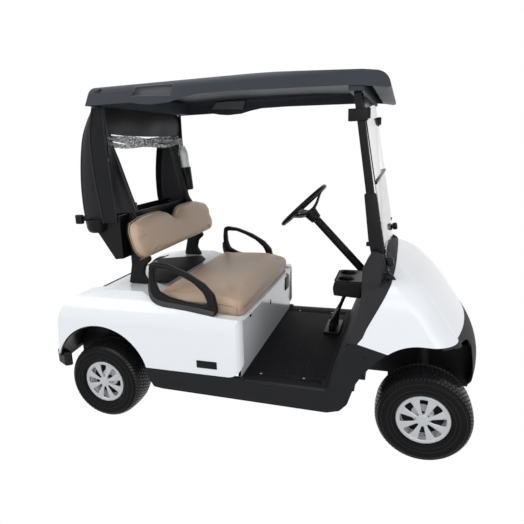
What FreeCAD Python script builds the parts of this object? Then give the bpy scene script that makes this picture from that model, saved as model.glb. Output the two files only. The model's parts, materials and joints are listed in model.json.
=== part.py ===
import FreeCAD, Part
import math
import os

import Sketcher
from FreeCAD import Placement, Rotation, Vector

# Two-seat electric golf cart.  Millimetres, X forward, Y to the left, Z up.
# The origin lies on the floor under the middle of the overall length.

doc = FreeCAD.newDocument("golf_cart")
sheet = doc.addObject("Spreadsheet::Sheet", "Sizes")

SIZES = {
    "wheelbase": 1669,
    "rear_overhang": 400,
    "front_overhang": 276,
    "rear_half_track": 489,
    "front_half_track": 451,
    "tyre_radius": 217,
    "tyre_width": 196,
    "rim_radius": 101,
    "cover_radius": 118,
    "cover_windows": 8,
    "cover_wall": 5,
    "spindle_radius": 15,
    "spindle_fit": 0.05,
    "kingpin_offset": 335,
    "steer_angle": 25,
    "panel_wall": 6,
    "dash_wall": 8,
    "seat_gap": 0.3,
    "half_width": 601,
    "rocker_thickness": 26,
    "floor_top": 339,
    "floor_thickness": 16,
    "rail_width": 60,
    "rail_height": 60,
    "rail_gap": 460,
    "front_rail_gap": 220,
    "sill_top": 350,
    "sill_bottom": 240,
    "deck_height": 745,
    "seat_base_top": 638,
    "seat_side_gap": 17,
    "seat_rear": 332,
    "seat_front": 826,
    "seat_thickness": 112,
    "back_bottom": 905,
    "back_height": 218,
    "well_floor": 450,
    "well_half_width": 405,
    "strut_half_gap": 377,
    "strut_thickness": 30,
    "roof_bottom": 1692,
    "roof_half_width": 552,
    "roof_rise": 92,
    "roof_wall": 8,
    "front_strut_y": 488,
    "front_strut_width": 38,
    "armrest_inset": 44,
    "armrest_thickness": 40,
    "wheel_rim_radius": 166,
    "wheel_grip_radius": 13,
    "column_y": 265,
    "column_radius": 24,
    "column_angle": 47.6,
    "cup_radius": 38,
    "cup_depth": 65,
    "console_top": 742,
    "cowl_top": 922,
    "bumper_bottom": 290,
    "bumper_top": 604,
    "windshield_thickness": 5,
}

for row, (alias, number) in enumerate(SIZES.items(), start=1):
    sheet.set(f"A{row}", alias)
    sheet.set(f"B{row}", str(number))
    sheet.setAlias(f"B{row}", alias)
doc.recompute()


class Size:
    """A length that carries its number and the sheet expression that gives it."""

    def __init__(self, number, text):
        self.number = float(number)
        self.text = text

    def __float__(self):
        return self.number

    def __add__(self, other):
        return Size(self.number + float(other), f"({self.text} + {words(other)})")

    def __radd__(self, other):
        return Size(float(other) + self.number, f"({words(other)} + {self.text})")

    def __sub__(self, other):
        return Size(self.number - float(other), f"({self.text} - {words(other)})")

    def __rsub__(self, other):
        return Size(float(other) - self.number, f"({words(other)} - {self.text})")

    def __mul__(self, other):
        return Size(self.number * float(other), f"({self.text} * {words(other)})")

    __rmul__ = __mul__

    def __truediv__(self, other):
        return Size(self.number / float(other), f"({self.text} / {words(other)})")

    def __neg__(self):
        return Size(-self.number, f"(-{self.text})")


def words(value):
    """The expression text of a Size or of a plain number."""
    return value.text if isinstance(value, Size) else repr(float(value))


def cell(alias):
    """The named cell of the sheet as a Size."""
    return Size(sheet.get(alias), f"Sizes.{alias}")


S = {alias: cell(alias) for alias in SIZES}
S["armrest_y"] = S["half_width"] - S["armrest_inset"]
S["seat_half_width"] = S["armrest_y"] - S["armrest_thickness"] / 2 - S["seat_side_gap"]

REAR = (S["rear_overhang"] - S["front_overhang"] - S["wheelbase"]) / 2
FRONT = REAR + S["wheelbase"]
AXLE_Z = S["tyre_radius"]
GAP = S["seat_gap"]
WALL = S["panel_wall"]
SIDES = {"left": 1, "right": -1}


# ---------------------------------------------------------------- helpers

NODES = []


def node(label, item):
    """Name an object as one sub-part of the assembly."""
    item.Label = label
    NODES.append(item)
    return item


def bind(item, path, value):
    """Tie one property of an object to a size."""
    item.setExpression(path, words(value))


def place(item, x=0.0, y=0.0, z=0.0, turn=None):
    """Set where an object stands, with its base point tied to sizes."""
    if turn is not None:
        item.Placement = Placement(Vector(), turn)
    for axis, value in zip("xyz", (x, y, z)):
        bind(item, f"Placement.Base.{axis}", value)
    return item


def box(name, low, high):
    """A box between two corners."""
    item = doc.addObject("Part::Box", name)
    for side, first, last in zip(("Length", "Width", "Height"), low, high):
        bind(item, side, last - first)
    return place(item, *low)


def rod(name, start, length, radius, turn=None):
    """A cylinder that starts at a point; it runs along Z unless it is turned."""
    item = doc.addObject("Part::Cylinder", name)
    bind(item, "Radius", radius)
    bind(item, "Height", length)
    return place(item, *start, turn=turn)


ALONG_X = Rotation(Vector(0, 1, 0), 90)
ALONG_Y = Rotation(Vector(1, 0, 0), -90)


def fuse(name, items):
    item = doc.addObject("Part::MultiFuse", name)
    item.Shapes = items
    return item


def feature(name, shape):
    """An object whose shape comes from Part's own functions."""
    item = doc.addObject("Part::Feature", name)
    item.Shape = shape
    return item


def vec(x, y, z):
    return Vector(float(x), float(y), float(z))


def wire_of(points, lift):
    """A closed wire through points; a point followed by 'via' bends the edge before the next one.

    Each entry is (a, b) or (a, b, (via_a, via_b)), whose via point lies on the arc to the next entry.
    """
    edges = []
    for index, entry in enumerate(points):
        following = points[(index + 1) % len(points)]
        start, end = lift(entry[0], entry[1]), lift(following[0], following[1])
        if len(entry) == 3:
            edges.append(Part.Arc(start, lift(*entry[2]), end).toShape())
        else:
            edges.append(Part.makeLine(start, end))
    return Part.Wire(edges)


def slab_xz(points, y_low, y_high):
    """A prism whose outline is drawn in the side view (x, z)."""
    wire = wire_of(points, lambda a, b: vec(a, y_low, b))
    return Part.Face(wire).extrude(vec(0, float(y_high) - float(y_low), 0))


def slab_xy(points, z_low, z_high):
    """A prism whose outline is drawn in the plan view (x, y)."""
    wire = wire_of(points, lambda a, b: vec(a, b, z_low))
    return Part.Face(wire).extrude(vec(0, 0, float(z_high) - float(z_low)))


def slab_yz(points, x_low, x_high):
    """A prism whose outline is drawn in the rear view (y, z)."""
    wire = wire_of(points, lambda a, b: vec(x_low, a, b))
    return Part.Face(wire).extrude(vec(float(x_high) - float(x_low), 0, 0))


def block(low, high):
    """A plain box shape between two corners."""
    lengths = [float(b) - float(a) for a, b in zip(low, high)]
    return Part.makeBox(*lengths, vec(*low))


def bar(start, end, radius):
    """A round bar shape between two points."""
    start, end = vec(*start), vec(*end)
    return Part.makeCylinder(float(radius), (end - start).Length, start, end - start)


def from_rear(points):
    """Side-view points given from the rear axle."""
    return [(REAR + p[0], p[1]) if len(p) == 2 else (REAR + p[0], p[1], (REAR + p[2][0], p[2][1]))
            for p in points]


def fore(points):
    """Side-view points given from the front axle."""
    return [(FRONT + p[0], p[1]) if len(p) == 2 else (FRONT + p[0], p[1], (FRONT + p[2][0], p[2][1]))
            for p in points]


def mirror(shape):
    """The same shape on the other side of the cart."""
    return shape.mirror(Vector(), Vector(0, 1, 0))


def both(shape):
    return shape.fuse(mirror(shape))


# ---------------------------------------------------------------- sketched bodies

def origin_plane(body, role):
    return next(item for item in body.Origin.OriginFeatures if item.Role == role)


def sketch(body, name, role, loops):
    """A sketch of closed loops of lines; every corner is tied to its sizes."""
    item = body.newObject("Sketcher::SketchObject", name)
    item.AttachmentSupport = [(origin_plane(body, role), "")]
    item.MapMode = "FlatFace"
    for loop in loops:
        first = item.GeometryCount
        count = len(loop)
        for index, (a, b) in enumerate(loop):
            c, d = loop[(index + 1) % count]
            item.addGeometry(Part.LineSegment(vec(a, b, 0), vec(c, d, 0)), False)
        for index in range(count):
            item.addConstraint(Sketcher.Constraint(
                "Coincident", first + index, 2, first + (index + 1) % count, 1))
        for index, (a, b) in enumerate(loop):
            for kind, value in (("DistanceX", a), ("DistanceY", b)):
                number = item.addConstraint(Sketcher.Constraint(
                    kind, -1, 1, first + index, 1, float(value)))
                bind(item, f"Constraints[{number}]", value)
    return item


def pad(body, name, profile, length):
    """Pad a sketch evenly to both sides of its plane."""
    item = body.newObject("PartDesign::Pad", name)
    item.Profile = profile
    item.Midplane = True
    bind(item, "Length", length)
    return item


def pocket(body, name, profile, length):
    item = body.newObject("PartDesign::Pocket", name)
    item.Profile = profile
    item.Midplane = True
    bind(item, "Length", length)
    return item


def spin(body, name, profile):
    """Turn a sketch once about the body's Y axis."""
    item = body.newObject("PartDesign::Revolution", name)
    item.Profile = profile
    item.ReferenceAxis = (origin_plane(body, "Y_Axis"), [""])
    item.Angle = 360
    return item


# ---------------------------------------------------------------- running gear

FLANGE_HEIGHT = 10
BEAD = 78.5


def tyre(label, x, y):
    """A low golf-cart tyre with rounded shoulders."""
    body = doc.addObject("PartDesign::Body", label + "_body")
    half = S["tyre_width"] / 2
    outer, seat = S["tyre_radius"], S["rim_radius"] + GAP
    lip = S["rim_radius"] + FLANGE_HEIGHT
    profile = [(seat, -BEAD), (lip + 1.8, -BEAD), (lip + 15, -half + 3), (seat + 40, -half),
               (outer - 40, -half), (outer - 14, -half + 8), (outer - 4, -half + 24), (outer, -half + 48),
               (outer, half - 48), (outer - 4, half - 24), (outer - 14, half - 8),
               (outer - 40, half), (seat + 40, half), (lip + 15, half - 3), (lip + 1.8, BEAD), (seat, BEAD)]
    drawn = sketch(body, label + "_profile", "XY_Plane", [profile])
    body.Tip = spin(body, label + "_ring", drawn)
    place(body, x, y, AXLE_Z)
    return node(label, body)


def wheel(label, x, y, side):
    """A steel rim with its centre disc and a dished cover with eight windows."""
    body = doc.addObject("PartDesign::Body", label + "_body")
    rim, lip = S["rim_radius"], S["rim_radius"] + FLANGE_HEIGHT
    bore = S["spindle_radius"] + S["spindle_fit"]
    profile = [(rim, -79), (rim, 79), (lip, 82), (lip, 88), (lip - 7, 88), (rim - 7, 76), (rim - 7, 24),
               (30, 24), (30, 30), (bore, 30), (bore, -30), (30, -30), (30, 16), (rim - 7, 16),
               (rim - 7, -76), (lip - 7, -88), (lip, -88), (lip, -82)]
    spin(body, label + "_rim", sketch(body, label + "_rim_profile", "XY_Plane", [profile]))
    edge, wall = S["cover_radius"], S["cover_wall"]
    dish = [(edge - 16, 87), (edge, 87), (edge, 93), (edge - 6, 98), (edge - 20, 93), (46, 83), (34, 87),
            (30, 92), (0.01, 93), (0.01, 93 - wall), (30, 92 - wall), (46, 83 - wall),
            (edge - 20, 93 - wall)]
    spin(body, label + "_dish", sketch(body, label + "_dish_profile", "XY_Plane", [dish]))
    window = [(44, -9), (70, -14), (97, -20), (97, 20), (70, 14), (44, 9)]
    opening = sketch(body, label + "_window", "XZ_Plane", [window])
    opening.AttachmentOffset = Placement(Vector(0, 0, -85), Rotation())
    cutter = pocket(body, label + "_pocket", opening, Size(44, "44"))
    ring = body.newObject("PartDesign::PolarPattern", label + "_windows")
    ring.Originals = [cutter]
    ring.Axis = (origin_plane(body, "Y_Axis"), [""])
    ring.Angle = 360
    bind(ring, "Occurrences", S["cover_windows"])
    body.Tip = ring
    turn = Rotation() if side > 0 else Rotation(Vector(0, 0, 1), 180)
    place(body, x, y, AXLE_Z, turn)
    return node(label, body)


WHEELS = [("front", FRONT, S["front_half_track"]), ("rear", REAR, S["rear_half_track"])]
for end, axle_x, half_track in WHEELS:
    for side_name, side in SIDES.items():
        tyre(f"tyre_{end}_{side_name}", axle_x, half_track * side)
        wheel(f"wheel_{end}_{side_name}", axle_x, half_track * side, side)

DRUM_RADIUS = 84
DRUM_INNER = 402
BOSS = 30

half_axle = S["rear_half_track"] - BOSS
node("rear_axle", fuse("rear_axle_parts", [
    rod("axle_tube", (REAR, -half_axle + 40, AXLE_Z), 2 * half_axle - 80, 38, ALONG_Y),
    rod("axle_shaft", (REAR, -half_axle - 2 * BOSS + 2, AXLE_Z), 2 * half_axle + 4 * BOSS - 4,
        S["spindle_radius"], ALONG_Y),
    rod("axle_drum_left", (REAR, DRUM_INNER, AXLE_Z), half_axle - DRUM_INNER - 6, DRUM_RADIUS, ALONG_Y),
    rod("axle_drum_right", (REAR, -half_axle + 6, AXLE_Z), half_axle - DRUM_INNER - 6, DRUM_RADIUS,
        ALONG_Y),
    rod("gear_case", (REAR, 20, AXLE_Z), 130, 95, ALONG_Y),
    box("gear_case_arm", (REAR + 20, Size(20, "20"), AXLE_Z - 60), (REAR + 170, Size(130, "130"), AXLE_Z + 75)),
]))

node("drive_motor", rod("drive_motor_can", (REAR + 150, -235, AXLE_Z + 20), 255 - GAP, 88, ALONG_Y))

RAIL = S["rail_gap"] / 2
RAIL_OUT = RAIL + S["rail_width"]
RAIL_TOP = S["floor_top"] - S["floor_thickness"] - GAP
REAR_RAIL_TOP = S["well_floor"] - WALL - GAP
NARROW = S["front_rail_gap"] / 2
rail_high, rail_low = S["rail_height"], RAIL_TOP - S["rail_height"]
side_view = [
    (REAR - 345, REAR_RAIL_TOP), (REAR + 300, REAR_RAIL_TOP), (REAR + 372, RAIL_TOP),
    (FRONT - 275, RAIL_TOP), (FRONT - 275, rail_low), (REAR + 340, rail_low),
    (REAR + 270, REAR_RAIL_TOP - rail_high), (REAR - 345, REAR_RAIL_TOP - rail_high)]
rail = slab_xz(side_view, RAIL, RAIL_OUT)
fore_rail = block((FRONT - 330, NARROW, rail_low), (FRONT + 190, NARROW + 50, RAIL_TOP))
chassis = both(rail.fuse(fore_rail))
for x_low, x_high, reach, low, high in [
        (REAR - 345, REAR - 295, RAIL_OUT, REAR_RAIL_TOP - rail_high, REAR_RAIL_TOP),
        (REAR + 400, REAR + 450, RAIL_OUT + 40, rail_low, RAIL_TOP),
        (REAR + 700, REAR + 750, RAIL_OUT + 40, rail_low, RAIL_TOP),
        (FRONT - 330, FRONT - 275, RAIL_OUT, rail_low, RAIL_TOP),
        (FRONT + 140, FRONT + 190, NARROW + 50, rail_low, RAIL_TOP)]:
    chassis = chassis.fuse(block((x_low, -reach, low), (x_high, reach, high)))
tower = block((FRONT - 25, NARROW + 10, RAIL_TOP), (FRONT + 25, NARROW + 50, 560))
chassis = chassis.fuse(both(tower)).removeSplitter()
node("chassis", feature("chassis_shape", chassis))

node("battery_pack", box("battery_block", (REAR + 390, Size(-320, "-320"), RAIL_TOP + GAP),
                         (REAR + 770, Size(320, "320"), RAIL_TOP + GAP + 265)))

SPRING_Y = RAIL_OUT + 30
SPRING_HALF = 22
SPRING_REAR = -270


def leaf_spring(side):
    """A bowed leaf pack under the axle, its eyes hung from the rail, and a damper behind it."""
    eye_low = REAR_RAIL_TOP - 95
    drop = AXLE_Z + 38 + GAP
    leaf = slab_xz([(REAR + SPRING_REAR, eye_low, (REAR, drop)), (REAR + 300, eye_low),
                    (REAR + 300, eye_low + 14, (REAR, drop + 24)), (REAR + SPRING_REAR, eye_low + 14)],
                   SPRING_Y - SPRING_HALF, SPRING_Y + SPRING_HALF)
    hangers = [block((REAR + spot - 14, RAIL_OUT + GAP, eye_low - 6),
                     (REAR + spot + 14, RAIL_OUT + 10, REAR_RAIL_TOP - 20)) for spot in (SPRING_REAR, 300)]
    pins = [bar((REAR + spot, RAIL_OUT + 5, eye_low + 7), (REAR + spot, SPRING_Y + SPRING_HALF, eye_low + 7),
                15) for spot in (SPRING_REAR, 300)]
    clamp = block((REAR - 45, SPRING_Y - 26, drop + 8), (REAR + 45, SPRING_Y + 26, drop + 40))
    shape = leaf
    for piece in hangers + pins + [clamp]:
        shape = shape.fuse(piece)
    shape = shape.removeSplitter()
    return shape if side > 0 else mirror(shape)


for side_name, side in SIDES.items():
    node(f"rear_spring_{side_name}", feature(f"rear_spring_{side_name}_shape", leaf_spring(side)))

KING_Y = S["kingpin_offset"]
KING_RADIUS = 16
PIN_RADIUS = 8
ARM_REACH = 150


def knuckle(side):
    """The upright that turns on its kingpin, with the wheel spindle and the steering arm."""
    post = bar((FRONT, KING_Y, AXLE_Z - 62), (FRONT, KING_Y, AXLE_Z + 62), KING_RADIUS)
    stub = bar((FRONT, KING_Y, AXLE_Z), (FRONT, S["front_half_track"] - BOSS - 6, AXLE_Z), 24)
    spindle = bar((FRONT, KING_Y, AXLE_Z), (FRONT, S["front_half_track"] + BOSS - 2, AXLE_Z),
                  S["spindle_radius"])
    arm = block((FRONT - ARM_REACH, KING_Y - 22, AXLE_Z - 20), (FRONT, KING_Y - 6, AXLE_Z - 4))
    socket = bar((FRONT, KING_Y, AXLE_Z - 63), (FRONT, KING_Y, AXLE_Z - 30), PIN_RADIUS + S["spindle_fit"])
    shape = post.fuse(stub).fuse(spindle).fuse(arm).cut(socket).removeSplitter()
    return shape if side > 0 else mirror(shape)


def front_suspension(side):
    """A lower arm with its fork round the kingpin foot, and the spring leg above it."""
    foot = AXLE_Z - 62 - GAP
    ball = bar((FRONT, KING_Y, foot - 40), (FRONT, KING_Y, foot), 22)
    pin = bar((FRONT, KING_Y, foot), (FRONT, KING_Y, foot + 30), PIN_RADIUS)
    pivots = [bar((FRONT + spot - 25, NARROW + 66, rail_low - 22), (FRONT + spot + 25, NARROW + 66,
                                                                  rail_low - 22), 16)
              for spot in (-95, 95)]
    arms = [bar((FRONT + spot, NARROW + 66, rail_low - 22), (FRONT, KING_Y, foot - 27), 12)
            for spot in (-95, 95)]
    hangers = [block((FRONT + spot - 10, NARROW + 20, rail_low - 30),
                     (FRONT + spot + 10, NARROW + 66, rail_low - GAP)) for spot in (-95, 95)]
    link = block((FRONT - 46, KING_Y - 74, foot + 6), (FRONT + 46, KING_Y - 50, foot + 24))
    low, high = (FRONT, KING_Y - 62, foot + 14), (FRONT, NARROW + 50 + 34, 545)
    leg = bar(low, high, 13)
    coil = bar((FRONT, KING_Y - 72, AXLE_Z + 20), (FRONT, NARROW + 50 + 50, 470), 30)
    eye = bar((FRONT, NARROW + 50 + GAP, 535), (FRONT, NARROW + 50 + 50, 535), 16)
    shape = ball
    for piece in pivots + arms + hangers + [pin, link, leg, coil, eye]:
        shape = shape.fuse(piece)
    shape = shape.removeSplitter()
    return shape if side > 0 else mirror(shape)


for side_name, side in SIDES.items():
    node(f"knuckle_{side_name}", feature(f"knuckle_{side_name}_shape", knuckle(side)))
    node(f"front_suspension_{side_name}",
         feature(f"front_suspension_{side_name}_shape", front_suspension(side)))

RACK_Z = AXLE_Z - 12
rack = bar((FRONT - ARM_REACH, -180, RACK_Z), (FRONT - ARM_REACH, 180, RACK_Z), 15)
rods = bar((FRONT - ARM_REACH, -222, RACK_Z), (FRONT - ARM_REACH, 222, RACK_Z), 8)
saddle = block((FRONT - ARM_REACH - 18, NARROW + 2, RACK_Z),
               (FRONT - ARM_REACH + 18, NARROW + 18, rail_low - GAP))
node("steering_rack", feature("steering_rack_shape", rack.fuse(rods).fuse(both(saddle)).removeSplitter()))


# ---------------------------------------------------------------- rear body

HALF = S["half_width"]
DECK = float(S["deck_height"])
SEAT_BASE = float(S["seat_base_top"])
BODY_LOW = float(S["sill_top"])
REAR_OUTLINE = [
    (-262, BODY_LOW + 22), (-243, 560, (-205, 655)), (-128, DECK - 33), (60, DECK), (262, DECK),
    (330, DECK - 29), (415, SEAT_BASE + 52), (700, SEAT_BASE + 16), (800, SEAT_BASE + 12, (821, SEAT_BASE + 5)),
    (828, SEAT_BASE - 16), (828, BODY_LOW + 90, (810, BODY_LOW + 30)), (748, BODY_LOW), (-235, BODY_LOW)]
CORNER = 55


def rear_form(inset):
    """The outer or inner form of the rear body: its side view crossed with its rear view."""
    gap = float(inset)
    side_face = Part.Face(wire_of(from_rear(REAR_OUTLINE), lambda a, b: vec(a, -700, b)))
    if gap:
        side_face = side_face.makeOffset2D(-gap, 2)
    side_form = side_face.extrude(Vector(0, 1400, 0))
    half = float(HALF) - gap
    view = [(half, 300), (half, 560, (half - 16, 655)), (half - 92, 752 - gap), (half - 92, 800),
            (-half + 92, 800), (-half + 92, 752 - gap, (-half + 16, 655)), (-half, 560), (-half, 300)]
    half, front, bend = float(HALF) - gap, 828 - gap, CORNER - gap
    tuck = bend * (1 - math.sqrt(0.5))
    plan = [(-500, -half), (front - bend, -half, (front - tuck, -half + tuck)), (front, -half + bend),
            (front, half - bend, (front - tuck, half - tuck)), (front - bend, half), (-500, half)]
    form = side_form.common(slab_yz(view, REAR - 500, REAR + 900))
    return form.common(slab_xy([(REAR + p[0],) + tuple(p[1:2]) + tuple((REAR + q[0], q[1]) for q in p[2:])
                                for p in plan], 300, 800))


ARCH_X, ARCH_Z, ARCH_RADIUS = 12, 270, 290
outer, inner = rear_form(0), rear_form(WALL)
# the shell is open below and in front, where the seat panel closes it
below = block((REAR - 240, -HALF + WALL, 340), (REAR + 800, HALF - WALL, 362))
ahead = block((REAR + 700, -560, 340), (REAR + 840, 560, 640))
shell = outer.cut(inner).cut(below).cut(ahead)
arch = Part.makeCylinder(ARCH_RADIUS, 2 * 700, vec(REAR + ARCH_X, -700, ARCH_Z), Vector(0, 1, 0))
well_side = S["well_half_width"] + WALL + GAP
well_space = block((REAR - 420, -well_side, 300), (REAR - 40 + GAP, well_side, 800))
cushion_space = block((REAR + 322, -S["seat_half_width"] - 8, S["seat_base_top"]),
                      (REAR + 860, S["seat_half_width"] + 8, 800))
lid_hole = block((REAR + 372, -460, 560), (REAR + 770, 460, 700))
seat_deck = block((REAR + 316, -S["seat_half_width"] - 14, S["seat_base_top"] - WALL),
                  (REAR + 800, S["seat_half_width"] + 14, S["seat_base_top"]))
tail_space = block((REAR - 420, -700, 300), (REAR - 190, 700, 372))
rear_shape = shell.cut(arch).cut(well_space).cut(cushion_space).cut(tail_space)
recess = block((REAR + 316, -S["seat_half_width"] - 14, S["seat_base_top"] - WALL),
               (REAR + 834, S["seat_half_width"] + 14, 760)).common(outer).cut(cushion_space)
rear_shape = rear_shape.fuse(recess).fuse(seat_deck).cut(lid_hole).removeSplitter()
node("rear_body", feature("rear_body_shape", rear_shape))

well_low, well_in = S["well_floor"] - WALL, S["well_half_width"]
well = slab_xz([(REAR - 385, well_low), (REAR - 46, well_low), (REAR - 46, 715), (REAR - 46 + 5.5, 722),
                (REAR - 46 + 5.5, 730), (REAR - 54, 728), (REAR - 54, well_low + WALL),
                (REAR - 370, well_low + WALL), (REAR - 377, well_low + 40), (REAR - 385, well_low + 40)],
               -well_in - WALL, well_in + WALL)
well_wall = slab_xz([(REAR - 385, well_low), (REAR - 46, well_low), (REAR - 46, 722), (REAR - 110, 712),
                     (REAR - 225, 640), (REAR - 262, 520), (REAR - 385, well_low + 40)],
                    well_in, well_in + WALL)
node("bag_well", feature("bag_well_shape", well.fuse(both(well_wall)).removeSplitter()))

TAIL_OUTER = [(-240, -588), (-318, -545), (-350, -480, (-384, 0)), (-350, 480), (-318, 545), (-240, 588)]
TAIL_INNER = [(-205, 560), (-288, 508), (-312, 450, (-344, 0)), (-312, -450), (-288, -508), (-205, -560)]
tail = slab_xy([(REAR + p[0], p[1]) if len(p) == 2 else (REAR + p[0], p[1], (REAR + p[2][0], p[2][1]))
                for p in TAIL_OUTER + TAIL_INNER], 288, BODY_LOW + 22 - GAP)
node("rear_bumper", feature("rear_bumper_shape", tail))


# ---------------------------------------------------------------- floor and sills

ROCK_IN = HALF - S["rocker_thickness"]


def rocker_outline():
    """The sill: low under the doors, then swept up round the front wheel."""
    return [(REAR + 290, S["sill_top"] - GAP), (REAR + 300, 290), (REAR + 330, S["sill_bottom"] + 6),
            (REAR + 380, S["sill_bottom"]), (FRONT - 430, 229), (FRONT - 370, 246), (FRONT - 334, 285),
            (FRONT - 302, 384, (FRONT - 262, 448)), (FRONT - 162, 552), (FRONT - 291, 588),
            (FRONT - 326, 590), (FRONT - 361, 543), (FRONT - 415, 380), (FRONT - 434, S["floor_top"]),
            (REAR + 828, S["floor_top"]), (REAR + 828, S["sill_top"] - GAP)]


for side_name, side in SIDES.items():
    sill = slab_xz(rocker_outline(), ROCK_IN, HALF + 1)
    hollow = slab_xz([(REAR + 330, 330), (REAR + 350, 262), (FRONT - 440, 252), (FRONT - 440, 320)],
                     ROCK_IN - 1, HALF - 5)
    sill = sill.cut(hollow)
    node(f"rocker_{side_name}", feature(f"rocker_{side_name}_shape", sill if side > 0 else mirror(sill)))

floor_low = S["floor_top"] - S["floor_thickness"]
node("floor", box("floor_panel", (REAR + 806, -ROCK_IN + GAP, floor_low),
                  (FRONT - 436, ROCK_IN - GAP, S["floor_top"])))

PANEL_TOP = S["seat_base_top"] - WALL - GAP
panel = slab_xz([(REAR + 790, S["floor_top"] + GAP), (REAR + 810, S["floor_top"] + GAP),
                 (REAR + 822, PANEL_TOP), (REAR + 801, PANEL_TOP),
                 (REAR + 801, PANEL_TOP - 10), (REAR + 815, PANEL_TOP - 10),
                 (REAR + 804, S["floor_top"] + 8), (REAR + 790, S["floor_top"] + 8)], -559, 559)
node("seat_panel", feature("seat_panel_shape", panel))


# ---------------------------------------------------------------- nose

NOSE = [
    # height, front x from the front axle, half width beyond the body's, bow, corner run and corner depth
    (S["bumper_bottom"], 232, -25, 64, 101, 150), (360, 254, -5, 64, 101, 150), (430, 258, 1, 64, 101, 150),
    (520, 237, 3, 64, 101, 150), (620, 179, 1, 64, 101, 150), (720, 114, -4, 62, 101, 150),
    (800, 47, -23, 54, 98, 146), (850, -28, -76, 40, 90, 136), (885, -95, -181, 22, 70, 110),
    (908, -132, -301, 12, 50, 80), (917, -150, -411, 6, 40, 60), (S["cowl_top"], -165, -521, 3, 24, 26)]
CROWN_FROM = 600


def nose_form(inset):
    """The form of the whole nose, from plan sections at rising heights."""
    gap = float(inset)
    wires = []
    for height, reach, extra, bow, run, depth in NOSE:
        reach, half = float(FRONT) + reach - gap, float(HALF) + extra - gap
        front, side = reach - bow, half - depth
        level = float(height)
        if level > CROWN_FROM:
            level -= gap
        elif level == float(S["bumper_bottom"]) and gap > 0:
            level -= 1
        points = [(FRONT - 340, half), (front - run, half, (front - run * 0.28, half - depth * 0.33)),
                  (front, side, (reach, 0)), (front, -side, (front - run * 0.28, -half + depth * 0.33)),
                  (front - run, -half), (FRONT - 340, -half)]
        wires.append(wire_of(points, lambda a, b, level=level: vec(a, b, level)))
    return Part.makeLoft(wires, True, False)


FACE_LINE = [(-434, S["floor_top"] + GAP), (-361, 543), (-328, 606), (-288, 768), (-272, 880), (-268, 940)]
SEAM_LINE = [(-293, 590), (-271, 620), (-255, 663), (-221, 731), (-187, 797), (-160, 850), (-147, 886), (-134, 940)]


def shift(points, amount):
    return [(x + float(amount), z) for x, z in points]


nose_outer, nose_inner = nose_form(0), nose_form(WALL)
tyre_sweep = None
for step in range(-2, 3):
    roll = Part.makeCylinder(float(S["tyre_radius"]) + 10, float(S["tyre_width"]) + 20,
                             vec(FRONT, S["front_half_track"] - S["tyre_width"] / 2 - 10, AXLE_Z),
                             Vector(0, 1, 0))
    roll.rotate(vec(FRONT, KING_Y, 0), Vector(0, 0, 1), float(S["steer_angle"]) * step / 2)
    tyre_sweep = roll if tyre_sweep is None else tyre_sweep.fuse(roll)
tyre_sweep = both(tyre_sweep)
ahead_of_seam = slab_xz(fore(SEAM_LINE + [(-100, 1100), (400, 1100), (400, 200), (-200, 200), (-293, 400)]),
                        -700, 700)
cowl = nose_outer.cut(nose_inner).common(ahead_of_seam)

# the wheel opening in the white cowl, and the level below which the nose is the black bumper
BUMPER_TOP = float(S["bumper_top"])
COWL_ARCH = [(-400, 588.3), (-291, 588.3), (-162, 552.3, (-98, BUMPER_TOP - 15)), (-20, BUMPER_TOP - 2),
             (60, BUMPER_TOP - 4), (120, BUMPER_TOP - 5), (400, BUMPER_TOP), (400, 200), (-400, 200)]
node("front_cowl", feature("front_cowl_shape", cowl.cut(slab_xz(fore(COWL_ARCH), -700, 700))))

BUMPER_ZONE = [(60, 200), (400, 200), (400, BUMPER_TOP - GAP), (120, BUMPER_TOP - 5 - GAP),
               (60, BUMPER_TOP - 4 - GAP)]
WHEEL_OPENING = [(-400, 0), (222, 0), (222, 262), (212, 300), (208, 420), (204, 500, (192, 545)), (150, 574),
                 (104, BUMPER_TOP - 14), (-400, BUMPER_TOP - 14)]
bumper = cowl.common(slab_xz(fore(BUMPER_ZONE), -700, 700))
wheel_opening = both(slab_xz(fore(WHEEL_OPENING), 330, 700))
node("front_bumper", feature("front_bumper_shape", bumper.cut(wheel_opening).cut(tyre_sweep)))

dash_zone = slab_xz(fore(FACE_LINE + [(x - 0.3, z) for x, z in reversed(SEAM_LINE)]
                         + [(-320, 590), (-353, 543), (-426, S["floor_top"] + GAP)]), -700, 700)
dash_solid = nose_outer.common(dash_zone)
low_wall = slab_xz(fore(FACE_LINE[:3] + [(-320, 606), (-353, 543), (-426, S["floor_top"] + GAP)]),
                   -ROCK_IN + GAP, ROCK_IN - GAP)
high = dash_solid.cut(block((FRONT - 500, -700, 0), (FRONT + 100, 700, 590.3)))
hollow_zone = slab_xz(fore(shift(FACE_LINE, S["dash_wall"]) + [(300, 1100), (300, 330)]), -700, 700)
high = high.cut(nose_inner.common(hollow_zone))
dash = high.fuse(low_wall.common(block((FRONT - 500, -700, 0), (FRONT + 100, 700, 606)))).removeSplitter()
node("dash", feature("dash_shape", dash))

# ---------------------------------------------------------------- controls

front_of_face = slab_xz(fore([(x - 0.3, z) for x, z in FACE_LINE] + [(300, 1000), (300, 330)]), -700, 700)
CONSOLE_TOP = float(S["console_top"])
console = slab_xz(fore([(-468, 704), (-462, 660), (-300, 650), (-270, CONSOLE_TOP), (-458, CONSOLE_TOP)]), -132, 132)
cups = [Part.makeCylinder(float(S["cup_radius"]), 200, vec(FRONT - 404, across, CONSOLE_TOP - S["cup_depth"]))
        for across in (-66, 66)]
for cup in cups:
    console = console.cut(cup)
node("console", feature("console_shape", console.cut(front_of_face)))

tilt = math.radians(float(S["column_angle"]))
AXIS = Vector(math.cos(tilt), 0, -math.sin(tilt))
HUB = vec(FRONT - 638, S["column_y"], 1038)


def along(distance):
    return HUB + AXIS * distance


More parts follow.
